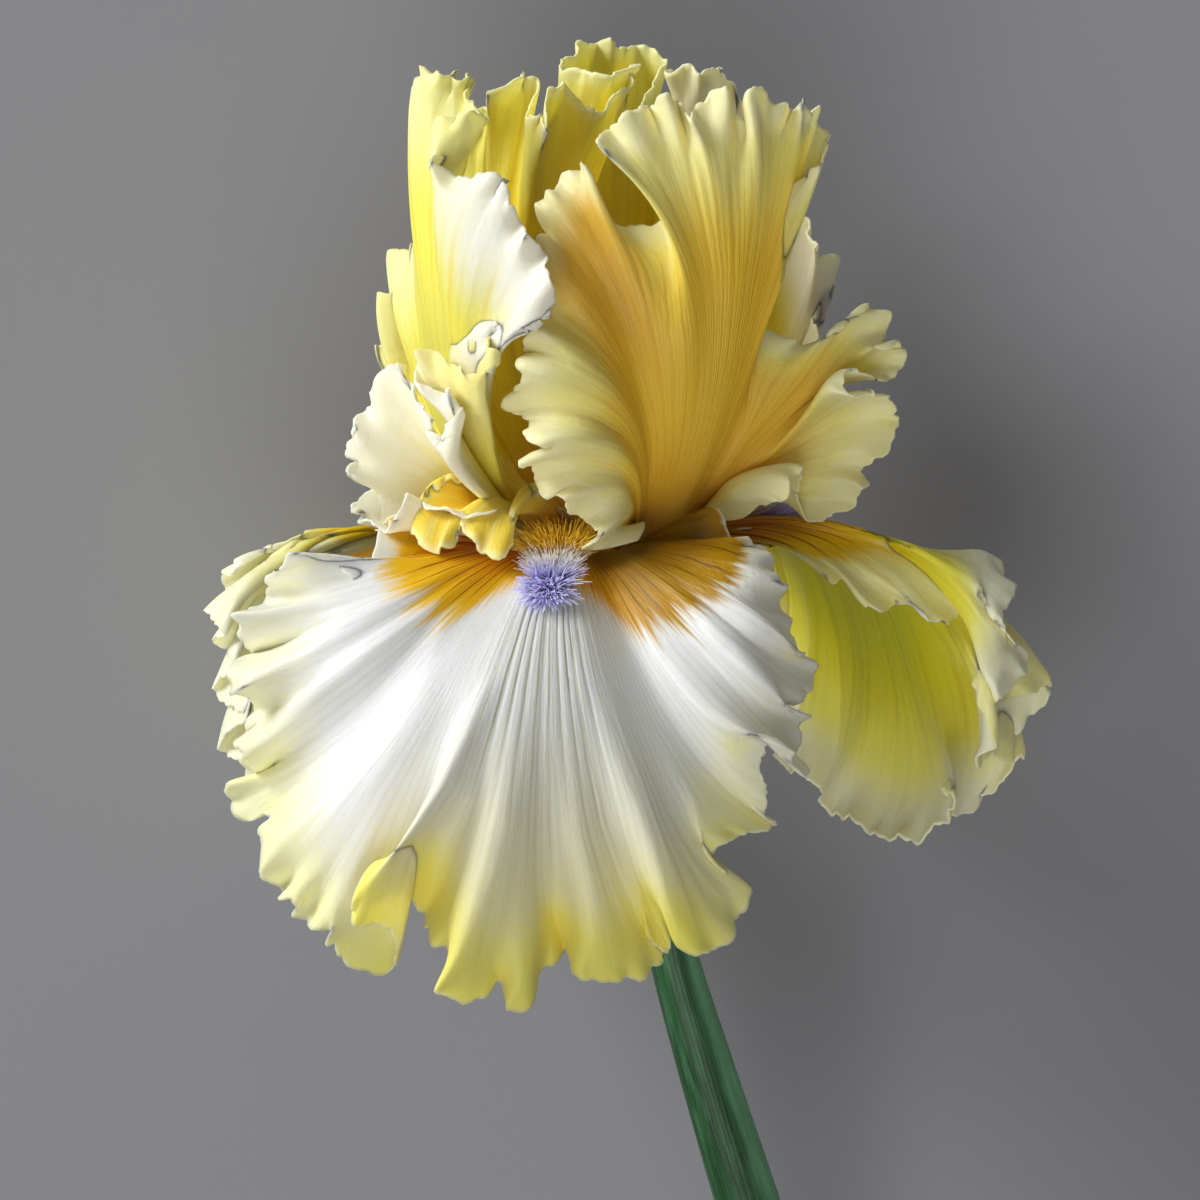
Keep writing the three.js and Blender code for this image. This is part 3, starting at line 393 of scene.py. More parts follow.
# The back standard: its tip rolls forward into a funnel between the other two.
STANDARD_BACK = {
    "azimuth": 170, "hand": 1, "tip": 29,
    "rim": [
        [24, 18, -20], [33, 24, -16], [35.2, 37.1, -12], [36.5, 42.4, -16], [37.1, 45.6, -14],
        [39, 48.8, -18], [39.2, 51, -14], [36, 52, -8], [34.9, 56, -14], [32.8, 60, -18],
        [31.7, 61.9, -15], [32, 66, -21], [29, 71, -17], [24.8, 74, -21], [23.7, 76.8, -16],
        [22.1, 79.5, -14], [20.5, 81, -8], [17.6, 80.8, -4], [14.4, 81.3, -6], [13, 80.2, -12],
        [14.2, 76.3, -18], [11.2, 73.1, -22], [8.5, 76.3, -26], [11.7, 82.4, -32], [9.6, 84, -34],
        [7, 84.8, -36], [4.8, 84, -32], [3, 85.9, -30], [1.1, 84.8, -32], [-1.1, 85.4, -28],
        [-2.9, 83.2, -24], [-4.8, 81.3, -16], [-1.6, 80.8, -10], [1.6, 80.3, -6], [5.1, 80.5, -8],
        [7.8, 82.1, -12], [6.1, 78.4, -8], [2.2, 73.8, -4], [0, 74.4, -1], [-2.9, 76.6, -4],
        [-4.3, 79, 0], [-6.7, 75.4, 4], [-6.7, 70.9, 7], [-8.3, 73.6, 4], [-9.8, 74.4, -2],
        [-9.1, 78.9, -6], [-10.4, 80.8, -8], [-12.5, 79.2, -5], [-16, 77.1, -6], [-17.4, 74.9, -10],
        [-20, 68, -14], [-22, 60, -20], [-24, 52, -22], [-27, 42, -27], [-26, 32, -30], [-26, 24, -28],
        [-19, 18, -26],
    ],
    "rows": [
        [[5, 4, -9.5], [4, 6, -11.5], [3, 7, -12.5], [2, 7.5, -13], [1, 7.5, -13], [0, 7.5, -13],
         [-1, 7, -12.5], [-2, 6, -11.5], [-2.5, 4, -10]],
        [[10, 10, -16], [22, 18, -26], [18, 26, -34], [9, 28, -38], [0, 29, -39], [-9, 28, -37],
         [-17, 26, -32], [-17, 18, -26], [-6, 10, -17]],
        [[17, 14, -20], [35, 30, -20], [30, 50, -26], [12, 58, -34], [0, 60, -38], [-6, 58, -30],
         [-12, 54, -16], [-24, 44, -24], [-13, 15, -23]],
    ],
}

# The right rear fall: its front edge rolls up, and its blade hangs with its back to the stem.
FALL_RIGHT = {
    "azimuth": 110, "hand": 1, "tip": 37,
    "rim": [
        [25.9, 7.5, 2], [28, 5.6, 1], [32, 6.1, -1], [34.1, 2.2, 2], [39.2, -0.8, 5], [43.5, 2.2, 2],
        [42.9, -3.2, 6], [46.4, -5.9, 9], [48.5, -4.5, 4], [52, -6.1, 6], [56.3, -7.4, 8],
        [59.5, -6.1, 3], [63.2, -2.4, 2], [64, 2.1, -3], [67.2, -2.4, 2], [65.8, -8, 8], [70.1, -13, 4],
        [69.4, -16.2, 9], [65.3, -20.2, 13], [67.2, -20, 4], [73.3, -17.8, -2], [72, -21, -6],
        [66.1, -26.7, -6], [61.6, -17.8, 9], [63.2, -23.2, 13], [64, -27.2, 14], [61.8, -30.6, 11],
        [64, -28.8, 2], [66.1, -29.6, -4], [68.8, -29.1, -12], [67.2, -32.3, -14], [63.2, -36, -18],
        [58.4, -38.7, -14], [56.8, -34.4, -4], [58.4, -35.5, 4], [56.8, -39.5, -4], [52.5, -42.2, -10],
        [48, -42.1, -16], [42.4, -39.8, -22], [36.8, -36.6, -30], [37.8, -34.4, -38], [34.6, -32.2, -40],
        [30, -30, -48], [33, -24, -54], [28, -20, -62], [32, -14, -66], [28, -8, -60], [33, -3, -62],
        [31, 2, -54], [34, 4, -46], [30, 8, -38], [32, 9.5, -30], [26, 9.5, -24],
    ],
    "rows": [
        [[12, 2.5, 0], [14, 9, -2], [15, 12, -4], [16, 13.5, -6], [16, 14, -8], [15, 13, -10],
         [14, 11, -12], [12, 8, -11.5], [9, 3, -9.5]],
        [[19, 6, 1], [36, 14, 2], [50, 18, -3], [56, 20, -12], [52, 24, -26], [44, 22, -38],
         [34, 18, -42], [24, 13, -30], [15, 6, -14]],
        [[24, 8, 2], [47, 2, 6], [66, -8, 6], [67, -22, -8], [56, -28, -30], [42, -22, -50],
         [34, -6, -60], [31, 9, -40], [21, 9, -19]],
    ],
}

# The left rear fall, mostly behind the front one.
FALL_LEFT = {
    "azimuth": -130, "hand": -1, "tip": 18,
    "rim": [
        [-33.6, 7.2, 3], [-38.4, 6.4, -2], [-43.5, 3.2, 3], [-46.4, 4.3, -3], [-50.4, 1.1, 5],
        [-53.6, 1.3, -2], [-57.4, 1, 3], [-58.4, -2.1, -4], [-60.6, -5.9, 2], [-58.9, -9.1, 8],
        [-59, -11.7, 1], [-56.6, -14.2, 6], [-60, -19, -2], [-55, -23, 6], [-59, -28, -4], [-53, -31, 2],
        [-55, -36, -8], [-49, -37, -2], [-50, -41, -14], [-43, -39, -14], [-42, -38, -26],
        [-35, -33, -30], [-37, -29, -40], [-29, -25, -46], [-33, -19, -56], [-27, -14, -65.3],
        [-32, -8, -65.3], [-27, -4, -56], [-33, 1, -54], [-28, 5, -44], [-31, 8, -36], [-24, 9, -26],
    ],
    "rows": [
        [[-12, 3, -5], [-14, 8, -5], [-15, 11, -6], [-15, 13, -8], [-15, 14, -10], [-14, 13, -12],
         [-12, 11, -13], [-9, 8, -12.5], [-6, 3, -11]],
        [[-20, 6, -5], [-33, 11, 2], [-42, 13, 2], [-47, 14, -10], [-46, 18, -26], [-42, 18, -38],
         [-32, 16, -42], [-21, 12, -30], [-11, 6, -18]],
        [[-27, 8, -1], [-43, 4, 5], [-52, 0, 6], [-53, -16, -6], [-50, -26, -28], [-41, -24, -48],
         [-33, -8, -60], [-30, 8, -42], [-18, 9, -23]],
    ],
}


# ---- Materials ----

def tint(code):
    """A colour's linear values from its usual hexadecimal name."""
    parts = [int(code[i:i + 2], 16) / 255 for i in (1, 3, 5)]
    return tuple(((p + 0.055) / 1.055) ** 2.4 if p > 0.04045 else p / 12.92 for p in parts) + (1,)


class Wire:
    """A node's socket, on which Python's operators add Math nodes."""

    def __init__(self, tree, socket=None):
        self.tree = tree
        self.socket = socket

    def node(self, kind, settings=None, inputs=None, output=0):
        """Any other node: its settings first, then the values or links of its sockets."""
        made = self.tree.nodes.new(kind)
        for setting, value in (settings or {}).items():
            setattr(made, setting, value)
        for key, value in (inputs or {}).items():
            if isinstance(value, Wire):
                self.tree.links.new(value.socket, made.inputs[key])
            else:
                made.inputs[key].default_value = value
        return Wire(self.tree, made.outputs[output])

    def math(self, operation, *others):
        return self.node("ShaderNodeMath", {"operation": operation}, dict(enumerate([self, *others])))

    def __add__(self, other):
        return self.math("ADD", other)

    def __sub__(self, other):
        return self.math("SUBTRACT", other)

    def __rsub__(self, other):
        return (self * -1) + other

    def __mul__(self, other):
        return self.math("MULTIPLY", other)

    def __abs__(self):
        return self.math("ABSOLUTE")

    __radd__ = __add__
    __rmul__ = __mul__

    def rise(self, start, end):
        """0 up to start, 1 from end on, and smooth between; it falls where end is the lower one."""
        if end < start:
            return 1 - self.rise(end, start)
        return self.node("ShaderNodeMapRange", {"interpolation_type": "SMOOTHSTEP"},
                         {0: self, 1: start, 2: end})

    def over(self, *colours):
        """A colour for 0 and one for 1, mixed by this value."""
        below, above = (tint(colour) if isinstance(colour, str) else colour for colour in colours)
        return self.node("ShaderNodeMix", {"data_type": "RGBA"}, {0: self, 6: below, 7: above}, 2)

    def parts(self):
        """The three values of a vector."""
        split = self.tree.nodes.new("ShaderNodeSeparateXYZ")
        self.tree.links.new(self.socket, split.inputs[0])
        return [Wire(self.tree, socket) for socket in split.outputs]

    def vector(self, x, y, z=0.0):
        return self.node("ShaderNodeCombineXYZ", None, {0: x, 1: y, 2: z})

    def noise(self, place, scale=1.0, detail=2.0, roughness=0.5):
        return self.node("ShaderNodeTexNoise", None,
                         {"Vector": place, "Scale": scale, "Detail": detail, "Roughness": roughness})

    def fact(self, name, output="Fac"):
        return self.node("ShaderNodeAttribute", {"attribute_name": name}, None, output)


def material(name, roughness, specular, see_through, depth):
    """A new material: its tree to add nodes to, and its shader. Light goes depth metres into it."""
    made = bpy.data.materials.new(name)
    made.use_nodes = True
    tree = made.node_tree
    shader = next(node for node in tree.nodes if node.type == "BSDF_PRINCIPLED")
    settings = {
        "Roughness": roughness, "Specular IOR Level": specular,
        "Subsurface Weight": see_through, "Subsurface Scale": depth,
        "Subsurface Radius": (1.0, 0.95, 0.8),
    }
    for socket, value in settings.items():
        shader.inputs[socket].default_value = value
    return made, Wire(tree), shader


def finish_material(wire, shader, colour, relief=None, height=0.0001, roughness=None):
    """Links what varies over a piece: its colour, its relief, height metres high, and its roughness."""
    wire.tree.links.new(colour.socket, shader.inputs["Base Color"])
    if roughness is not None:
        wire.tree.links.new(roughness.socket, shader.inputs["Roughness"])
    if relief is not None:
        bump = wire.node("ShaderNodeBump", None, {"Height": relief, "Distance": height, "Strength": 1.0})
        wire.tree.links.new(bump.socket, shader.inputs["Normal"])


class Blade:
    """What a petal's finish is drawn from: places on its blade, and lines that run along it."""

    def __init__(self, wire):
        self.wire = wire
        self.across, self.along, self.inward = wire.fact("place", "Vector").parts()
        self.under = wire.fact("under")
        self.drift = wire.noise(wire.vector(self.across * 7, self.along * 3), 1, 3) - 0.5
        self.cloud = wire.noise(wire.vector(self.across * 5, self.along * 4, 3.0), 1, 3)

    def veins(self, count, width, waver=1.2):
        """Fine lines along the blade: 1 on a vein and 0 between."""
        phase = (self.across * count + self.drift * waver).math("FRACT")
        return abs(phase - 0.5).rise(width, 0.02)

    def vein_net(self, coarse, fine):
        """Veins of two sizes."""
        return self.veins(coarse, 0.2) * 0.7 + self.veins(fine, 0.3) * 0.5

    def fibres(self, count, length):
        """Long thin streaks along the blade."""
        return self.wire.noise(self.wire.vector(self.across * count, self.along * length), 1, 3, 0.65)


def petal_material(name, recipe):
    """The silky finish of a petal, in the colours and veins of its recipe."""
    made, wire, shader = material(name, 0.42, 0.3, 0.9, 0.0012)
    blade = Blade(wire)
    colour, veins = recipe(blade)
    silk = blade.fibres(230, 11)
    crepe = wire.noise(wire.vector(blade.across * 150, blade.along * 40), 1, 3, 0.6)
    relief = silk * 0.6 + crepe * 0.5 - veins * 0.4
    roughness = 0.3 + 0.25 * silk
    finish_material(wire, shader, colour, relief, 0.00022, roughness)
    return made


REAR_HAFT = ("#e3b80c", "#b9760a", "#6d2f06", 54)


def haft_colours(blade, field, gold, deep, line, count=46):
    """A fall's colours with its golden haft, which has brown lines and ends in streaks."""
    haft = blade.wire.fact("haft")
    streak = blade.fibres(110, 2.5) - 0.5
    share = (haft + streak * 0.3).rise(-0.05, 0.045)
    heart = (haft + streak * 0.1).rise(0.06, 0.3)
    lines = blade.veins(count, 0.1) * (haft + streak * 0.3).rise(0.0, 0.12)
    lines = lines.math("MAXIMUM", blade.veins(count * 2.6, 0.22) * haft.rise(0.06, 0.25) * 0.7)
    return share.over(field, lines.over(heart.over(gold, deep), line))


def fall_front_recipe(blade):
    ribs = blade.veins(44, 0.13) * abs(blade.across - 0.5).rise(0.2, 0.08)
    veins = ribs * blade.along.rise(0.85, 0.5) * 0.7 + blade.veins(120, 0.3) * 0.2
    low = abs(blade.across - 0.5).rise(0.26, 0.06)
    patch = blade.wire.noise(blade.wire.vector(blade.across * 22, blade.along * 3, 8.0), 1, 3) - 0.5
    yellow = blade.inward.rise(20, 3) * (low * 0.75 + 0.12)
    yellow = yellow + (patch * 1.5 + (blade.fibres(70, 2) - 0.5) * 0.5) * blade.inward.rise(18, 5)
    yellow = yellow.rise(0.1, 0.8)
    # painted shade: the white turns grey down the middle and right of middle, where the blade turns from
    # the light
    white = abs(blade.across - 0.58).rise(0.26, 0.08).over("#f0f1ee", "#d9dcda")
    field = veins.over(white, "#a8aa86")
    sides = abs(blade.across - 0.45).rise(0.42, 0.2) * 0.75 + 0.25
    pale = (blade.inward + blade.cloud * 20).rise(30, 12) * sides
    field = (pale * 0.9).over(field, "#fbf6b0")
    field = yellow.over(field, "#fee648")
    # painted glow: a yellow cast over the lower middle, for light that comes through the yellow petals
    # below
    painted_glow = low * blade.along.rise(0.55, 0.9) * 0.55
    field = painted_glow.over(field, "#f0e28c")
    # painted shade: the haft's gold, its heart and its lines are darker on the right, where the right
    # standard shades it
    gold = blade.across.rise(0.55, 0.85).over("#ffb80e", "#a88004")
    heart = blade.across.rise(0.55, 0.85).over("#fba206", "#7a5803")
    line = blade.across.rise(0.45, 0.65).over("#9a4204", "#704a04")
    colour = haft_colours(blade, field, gold, heart, line)
    # painted highlight: a bright line along the rim's last millimetre
    painted_rim_highlight = blade.inward.rise(1.1, 0.1)
    return (painted_rim_highlight * 0.5).over(colour, "#fffbd0"), veins * 0.6


def fall_left_recipe(blade):
    veins = blade.veins(34, 0.18) * 0.6 + blade.veins(100, 0.3) * 0.4
    field = (blade.inward + blade.cloud * 14).rise(4, 30).over("#fdfad0", "#f6ea7c")
    field = (veins * 0.25).over(field, "#c8c47a")
    return haft_colours(blade, field, *REAR_HAFT), veins * 0.6


def fall_rear_recipe(blade):
    ribs = blade.veins(34, 0.18)
    veins = ribs * blade.along.rise(1, 0.7) + blade.veins(100, 0.3) * 0.4
    middle = abs(blade.across - 0.52).rise(0.3, 0.02)
    field = (blade.inward + blade.cloud * 12).rise(10, 34).over("#faea5c", "#e2d522")
    field = (middle * 0.8 * blade.inward.rise(12, 40)).over(field, "#b9bd22")
    field = (veins * 0.3).over(field, "#b9b51e")
    # paler towards the tip: partly its own yellow, partly painted glow of light through the blade
    field = (blade.along.rise(0.74, 0.95) * 0.7).over(field, "#faee8c")
    field = blade.inward.rise(13, 3).over(field, "#fdf8c8")
    upper = blade.inward.rise(6, 24).over("#f8f0a8", "#ecd044")
    upper = (veins * 0.25).over(upper, "#b98a14")
    field = blade.under.over(upper, field)
    return haft_colours(blade, field, *REAR_HAFT), veins * 0.6


def standard_recipe(blade):
    veins = blade.vein_net(38, 120)
    reach = blade.inward + blade.cloud * 14 - 7
    field = reach.rise(3, 26).over("#fbe57c", "#f1c53a")
    # painted shade: darker amber in the hollow by the bay on the left, where the petal shades itself
    painted_hollow_shade = blade.across.rise(0.2, 0.25) * blade.across.rise(0.33, 0.28) * blade.along.rise(0.5, 0.75)
    field = (painted_hollow_shade * 0.8).over(field, "#c9960c")
    # painted shade: the right side's interior darker and duller
    field = (blade.across.rise(0.5, 0.75) * reach.rise(4, 16) * 0.4).over(field, "#d0a236")
    # painted shade: darker towards the claw, deep in the flower
    field = blade.along.rise(0.48, 0.12).over(field, "#b5830e")
    field = (veins * 0.34 * reach.rise(-4, 18)).over(field, "#c8921a")
    frill = blade.across.rise(0.24, 0.15) * 0.6 + blade.across.rise(0.8, 0.86) * 0.5
    frill = frill + blade.across.rise(0.36, 0.42) * blade.across.rise(0.56, 0.5) * 0.5
    rim = (blade.inward + (blade.fibres(70, 2) - 0.5) * 8).rise(8, 1)
    border = (blade.inward + (blade.fibres(60, 2) - 0.5) * 12).rise(20, 6)
    rim = (rim + frill * border).math("MINIMUM", 1.0)
    return (rim * 0.8).over(field, "#fdf4bc"), veins * 0.6


def standard_left_recipe(blade):
    veins = blade.vein_net(36, 110)
    reach = blade.inward + (blade.fibres(50, 2) - 0.5) * 9
    top = blade.across.rise(0.36, 0.42)
    edge = (top * 0.85).over("#fbf8dc", "#fbf090")
    loops = blade.across.rise(0.2, 0.23) * blade.across.rise(0.3, 0.27)
    edge = (loops * 0.8).over(edge, "#f6e37c")
    field = reach.rise(6, 20).over(edge, "#fdec62")
    fan = blade.across.rise(0.22, 0.17)
    field = (fan * reach.rise(24, 8)).over(field, "#fbf7d6")
    field = blade.along.rise(0.42, 0.15).over(field, "#dc9410")
    return (veins * 0.3 * reach.rise(2, 16)).over(field, "#e0b02a"), veins * 0.6


def standard_back_recipe(blade):
    veins = blade.vein_net(38, 120)
    reach = blade.inward + blade.cloud * 14 - 7
    field = reach.rise(2, 26).over("#fdee74", "#f8d636")
    field = blade.along.rise(0.5, 0.25).over(field, "#dcae2a")
    field = (veins * 0.25).over(field, "#dcb42c")
    pale = blade.across.rise(0.4, 0.3) * reach.rise(22, 8)
    field = (pale * 0.85).over(field, "#f2ecd0")
    return (blade.inward.rise(4, 0.5) * 0.7).over(field, "#fdf6b4"), veins * 0.6


def style_recipe(blade):
    veins = blade.veins(14, 0.22)
    field = blade.along.rise(0.15, 0.7).over("#e09a14", "#fbd450")
    field = (veins * 0.5).over(field, "#fbe38a")
    return (blade.inward.rise(1.6, 0.3) * 0.7).over(field, "#fdeeb0"), veins * 0.4


# ---- Petals ----

# Where the haft's gold ends: [across the blade, along it].
HAFT_FRONT = [
    [0, 1.05], [0.03, 0.86], [0.09, 0.7], [0.14, 0.62], [0.2, 0.55], [0.23, 0.46], [0.27, 0.38],
    [0.34, 0.33], [0.5, 0.3], [0.62, 0.34], [0.71, 0.42], [0.78, 0.57], [0.86, 0.61], [0.92, 0.75],
    [0.955, 0.94], [1, 1.05],
]
HAFT_REAR = [
    [0, 0.8], [0.12, 0.68], [0.25, 0.6], [0.4, 0.52], [0.6, 0.44], [0.75, 0.5], [0.88, 0.62], [1, 0.75]]

PETALS = {
    # table, record's slot, recipe of its finish, haft
    "fall_front": (FALL_FRONT, "fall", fall_front_recipe, HAFT_FRONT),
    "fall_right": (FALL_RIGHT, "fall_rear", fall_rear_recipe, HAFT_REAR),
    "fall_left": (FALL_LEFT, "fall_rear", fall_left_recipe, HAFT_REAR),
    "standard_right": (STANDARD_RIGHT, "standard", standard_recipe, None),
    "standard_left": (STANDARD_LEFT, "standard_pale", standard_left_recipe, None),
    "standard_back": (STANDARD_BACK, "standard", standard_back_recipe, None),
}
INNER_ROWS, RIM_ROWS, RIM_FROM = 58, 34, 0.72
COLUMNS = 900
BLADE_THICKNESS = (0.34, 0.9)  # at the rim and at the claw


def show(name, mesh, made, node):
    """A piece of the flower, in place of a node of its solids."""
    mesh.materials.append(made)
    piece = bpy.data.objects.new(name, mesh)
    bpy.context.scene.collection.objects.link(piece)
    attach(piece, "root")
    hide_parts(node)


# Soft folds that run along the blade: how many, how deep, and how far from the midrib they start.
FOLDS = {
    "fall_front": (13, 0.7, 0.24), "fall_right": (13, 0.6, 0), "fall_left": (13, 0.7, 0),
    "standard_right": (9, 0.25, 0), "standard_left": (12, 0.8, 0), "standard_back": (13, 0.6, 0),
}
FOLD_RISE = (0.35, 0.85)  # where they come up along the blade
# Narrow lines beside the midrib: how many over the blade, how deep, and how far out they go.
GROOVES = {"fall_front": (38, 0.17, 0.17)}
GROOVE_RISE, GROOVE_END = (0.28, 0.4), (0.6, 0.95)
RIBS = (54, 0.1)  # fine ribs of every petal: how many, how high
RIB_RISE = (0.5, 0.95)


def drapery(node, s, t, seed):
    """The height of a petal's folds, less the depth of its grooves."""
    rng = np.random.default_rng(seed + 60)
    count, depth, start = FOLDS[node]
    bend = 0.45 * wavy(t, 0.22, rng)
    fold = np.sin(2 * np.pi * (count * t + bend)) * (1 + 0.3 * wavy(t, 0.15, rng))
    fold = fold * ramp(np.abs(t - 0.5), start, start + 0.12) * ramp(np.minimum(t, 1 - t), 0, SHOULDER)
    height = depth * ramp(s, *FOLD_RISE)[:, None] * fold
    count, depth = RIBS
    rib = np.sin(2 * np.pi * (count * t + 0.5 * wavy(t, 0.06, rng))) * (0.6 + 0.5 * wavy(t, 0.03, rng))
    height = height + depth * ramp(s, *RIB_RISE)[:, None] * rib
    if node in GROOVES:
        count, depth, reach = GROOVES[node]
        line = np.abs(np.cos(np.pi * (count * t + 0.3 * wavy(t, 0.1, rng)))) ** 10
        line = line * ramp(np.abs(t - 0.5), reach, reach * 0.4)
        height = height - depth * (ramp(s, *GROOVE_RISE) * (1 - ramp(s, *GROOVE_END)))[:, None] * line
    return height


def petal_piece(node, seed):
    """Builds a petal, and hands back its grid for the beard."""
    table, slot, recipe, haft = PETALS[node]
    s = np.concatenate([np.linspace(0, RIM_FROM, INNER_ROWS, endpoint=False),
                        np.linspace(RIM_FROM, 1, RIM_ROWS)])
    t = np.linspace(0, 1, COLUMNS + 1)
    grid, inward = sheet(table, s, t, seed)
    grid = grid - normals_of(grid) * table["hand"] * drapery(node, s, t, seed)[..., None]
    facts = {"place": places_on(s, t, inward)}
    if haft:
        ends, reach = np.array(haft).T
        facts["haft"] = np.interp(t, ends, reach)[None] - s[:, None]
    rim, root = BLADE_THICKNESS
    thickness = np.broadcast_to((rim + (root - rim) * (1 - s) ** 3)[:, None], inward.shape)
    mesh = blade_mesh(node, grid, thickness, INNER_ROWS, facts, -table["hand"])
    show(node + "_blade", mesh, petal_material(node, recipe), node)
    return grid


def read_grid(grid, t, s_index):
    """Points of a grid at places across and rows, read between its points."""
    columns = grid.shape[1] - 1
    c = np.clip(t * columns, 0, columns - 1e-6)
    r = np.clip(s_index, 0, grid.shape[0] - 1 - 1e-6)
    i, j = r.astype(int), c.astype(int)
    a, b = (r - i)[:, None], (c - j)[:, None]
    return ((grid[i, j] * (1 - b) + grid[i, j + 1] * b) * (1 - a)
            + (grid[i + 1, j] * (1 - b) + grid[i + 1, j + 1] * b) * a)


grids = {node: petal_piece(node, seed) for seed, node in enumerate(PETALS, 3)}


# ---- Beards ----

HAIR_SIDES = 5
HAIR_JOINTS = 5
HAIR_SINK = 0.1  # how deep their roots stand
HAIR_TAPER = 0.72  # share of its radius that a hair loses
# Ways that no hair and no tube goes, from which their rings start.
ASIDE, UPWARDS = np.array([0.31, 0.17, 0.93]), np.array([0.0, 0.0, 1.0])


def turns(sides):
    """The angles of the corners of a ring."""
    return np.arange(sides) * 2 * np.pi / sides


def rings(ways, aside, turn, flatten=1.0):
    """Rings of corners round ways, square to them, from the angles of the corners."""
    side = unit(np.cross(ways, aside))
    other = np.cross(ways, side)
    turn = turn[:, None]
    return side[:, None] * np.cos(turn) + other[:, None] * np.sin(turn) * flatten


def hair_mesh(name, roots, ways, bends, lengths, radii, place):
    """Many thin tapered hairs: each starts at a root, goes its way and bends."""
    count = len(roots)
    u = np.linspace(0, 1, HAIR_JOINTS)
    spine = (roots[:, None] + ways[:, None] * (lengths[:, None] * u)[..., None]
             + bends[:, None] * (lengths[:, None] * u ** 2)[..., None])
    around = rings(ways, ASIDE, turns(HAIR_SIDES))
    width = radii[:, None] * (1 - HAIR_TAPER * u ** 1.5)
    points = spine[:, :, None] + around[:, None] * width[..., None, None]
    index = np.arange(points.size // 3).reshape(count, HAIR_JOINTS, HAIR_SIDES)
    following = np.roll(index, -1, axis=2)
    walls = np.stack([index[:, :-1], following[:, :-1], following[:, 1:], index[:, 1:]], -1)
    caps = np.stack([index[:, 0, ::-1], index[:, -1]], 1)
    mesh = new_mesh(name, points, walls.reshape(-1, 4).tolist() + caps.reshape(-1, HAIR_SIDES).tolist())
    add_fact(mesh, "place", np.broadcast_to(place[:, None, None], index.shape))
    add_fact(mesh, "up", np.broadcast_to(u[None, :, None], index.shape))
    return mesh


def beard_material():
    """Golden hairs in the throat, then white, then violet ones, all paler at their tips."""
    made, wire, shader = material("beard", 0.5, 0.35, 0.2, 0.0004)
    place = wire.fact("place")
    up = wire.fact("up")
    base = place.rise(0.38, 0.55).over("#ffa80a", "#f6f0f4")
    base = place.rise(0.52, 0.7).over(base, "#b9b8ff")
    tip = place.rise(0.38, 0.52).over("#ffd030", "#fffdf6")
    tip = place.rise(0.58, 0.76).over(tip, "#dcdaff")
    finish_material(wire, shader, up.rise(0.1, 0.9).over(base, tip))
    return made


BEARDS = {
    # from and to along the blade, count of hairs, seed
    "front": (0.17, 0.375, 1900, 31),
    "right": (0.14, 0.38, 1300, 32),
    "left": (0.14, 0.38, 1300, 33),
}
BEARD_FINISH = beard_material()
BEARD_WIDTH = 2.7  # from its middle to its side
BEARD_MIDDLE = 0.49  # across the blade
ACROSS_STEP = 0.03  # a short way across the blade, and one along it
ALONG_STEP = 0.02
LEANING = 3.1  # off the middle, where hairs lean fully aside
CROWN_WAY = np.array([0, 0.75, 1.0])  # how the hairs deep in the throat stand
STOUT_FROM = 0.78  # along the beard, from where its hairs are short and thick


def row_of(s):
    """The row of a petal's grid at a place along it."""
    return np.where(s < RIM_FROM, s / RIM_FROM * INNER_ROWS,
                    INNER_ROWS + (s - RIM_FROM) / (1 - RIM_FROM) * (RIM_ROWS - 1))


def beard(side):
    """The hairs along the midrib of a fall."""
    start, end, count, seed = BEARDS[side]
    node = "fall_" + side
    grid, hand = grids[node], PETALS[node][0]["hand"]
    rng = np.random.default_rng(seed)
    place = rng.uniform(0, 1, count)
    s = start + (end - start) * place
    wide = BEARD_WIDTH * np.sin(np.pi * (0.1 + 0.82 * place)) ** 0.5
    off = rng.uniform(-1, 1, count) * wide
    row = row_of(s)
    centre = read_grid(grid, np.full(count, BEARD_MIDDLE), row)
    step = read_grid(grid, np.full(count, BEARD_MIDDLE + ACROSS_STEP), row) - centre
    t = BEARD_MIDDLE + ACROSS_STEP * off / np.linalg.norm(step, axis=1)
    roots = read_grid(grid, t, row)
    up = unit(read_grid(normals_of(grid) * -hand, t, row))
    ahead = unit(read_grid(grid, t, row_of(s + ALONG_STEP)) - roots)
    sideways = unit(step) * (off / LEANING)[:, None]
    stout = place > STOUT_FROM
    spread = rng.normal(0, 0.22, (count, 3))
    crown = ramp(place, 0.5, 0.2)[:, None]
    up = unit(up * (1 - crown) + CROWN_WAY * crown)
    ways = unit(up * np.where(stout, 0.65, 1.0)[:, None] + sideways * 0.75 + spread
                + ahead * (np.where(stout, 0.9, 0.5) * ramp(place, 0.35, 1))[:, None])
    bends = ahead * rng.uniform(0.0, 0.25, count)[:, None] + sideways * 0.2
    lengths = (3.8 + 3.4 * ramp(place, 0.55, 0.15)) * rng.uniform(0.7, 1.1, count)
    lengths = np.where(stout, rng.uniform(2.6, 5.2, count), lengths)
    radii = np.where(stout, rng.uniform(0.15, 0.24, count), rng.uniform(0.08, 0.13, count))
    mesh = hair_mesh("beard_" + side, roots - up * HAIR_SINK, ways, bends, lengths, radii, place)
    show("beard_" + side + "_hairs", mesh, BEARD_FINISH, "beard_" + side)


for side in BEARDS:
    beard(side)


# ---- Style arms and stamens ----

def turned(points, azimuth):
    """Points for the front, turned round the tube to an azimuth in degrees."""
    c, s = math.cos(math.radians(azimuth)), math.sin(math.radians(azimuth))
    x, y, z = np.moveaxis(np.asarray(points, float), -1, 0)
    return np.stack([x * c + z * s, y, z * c - x * s], -1)


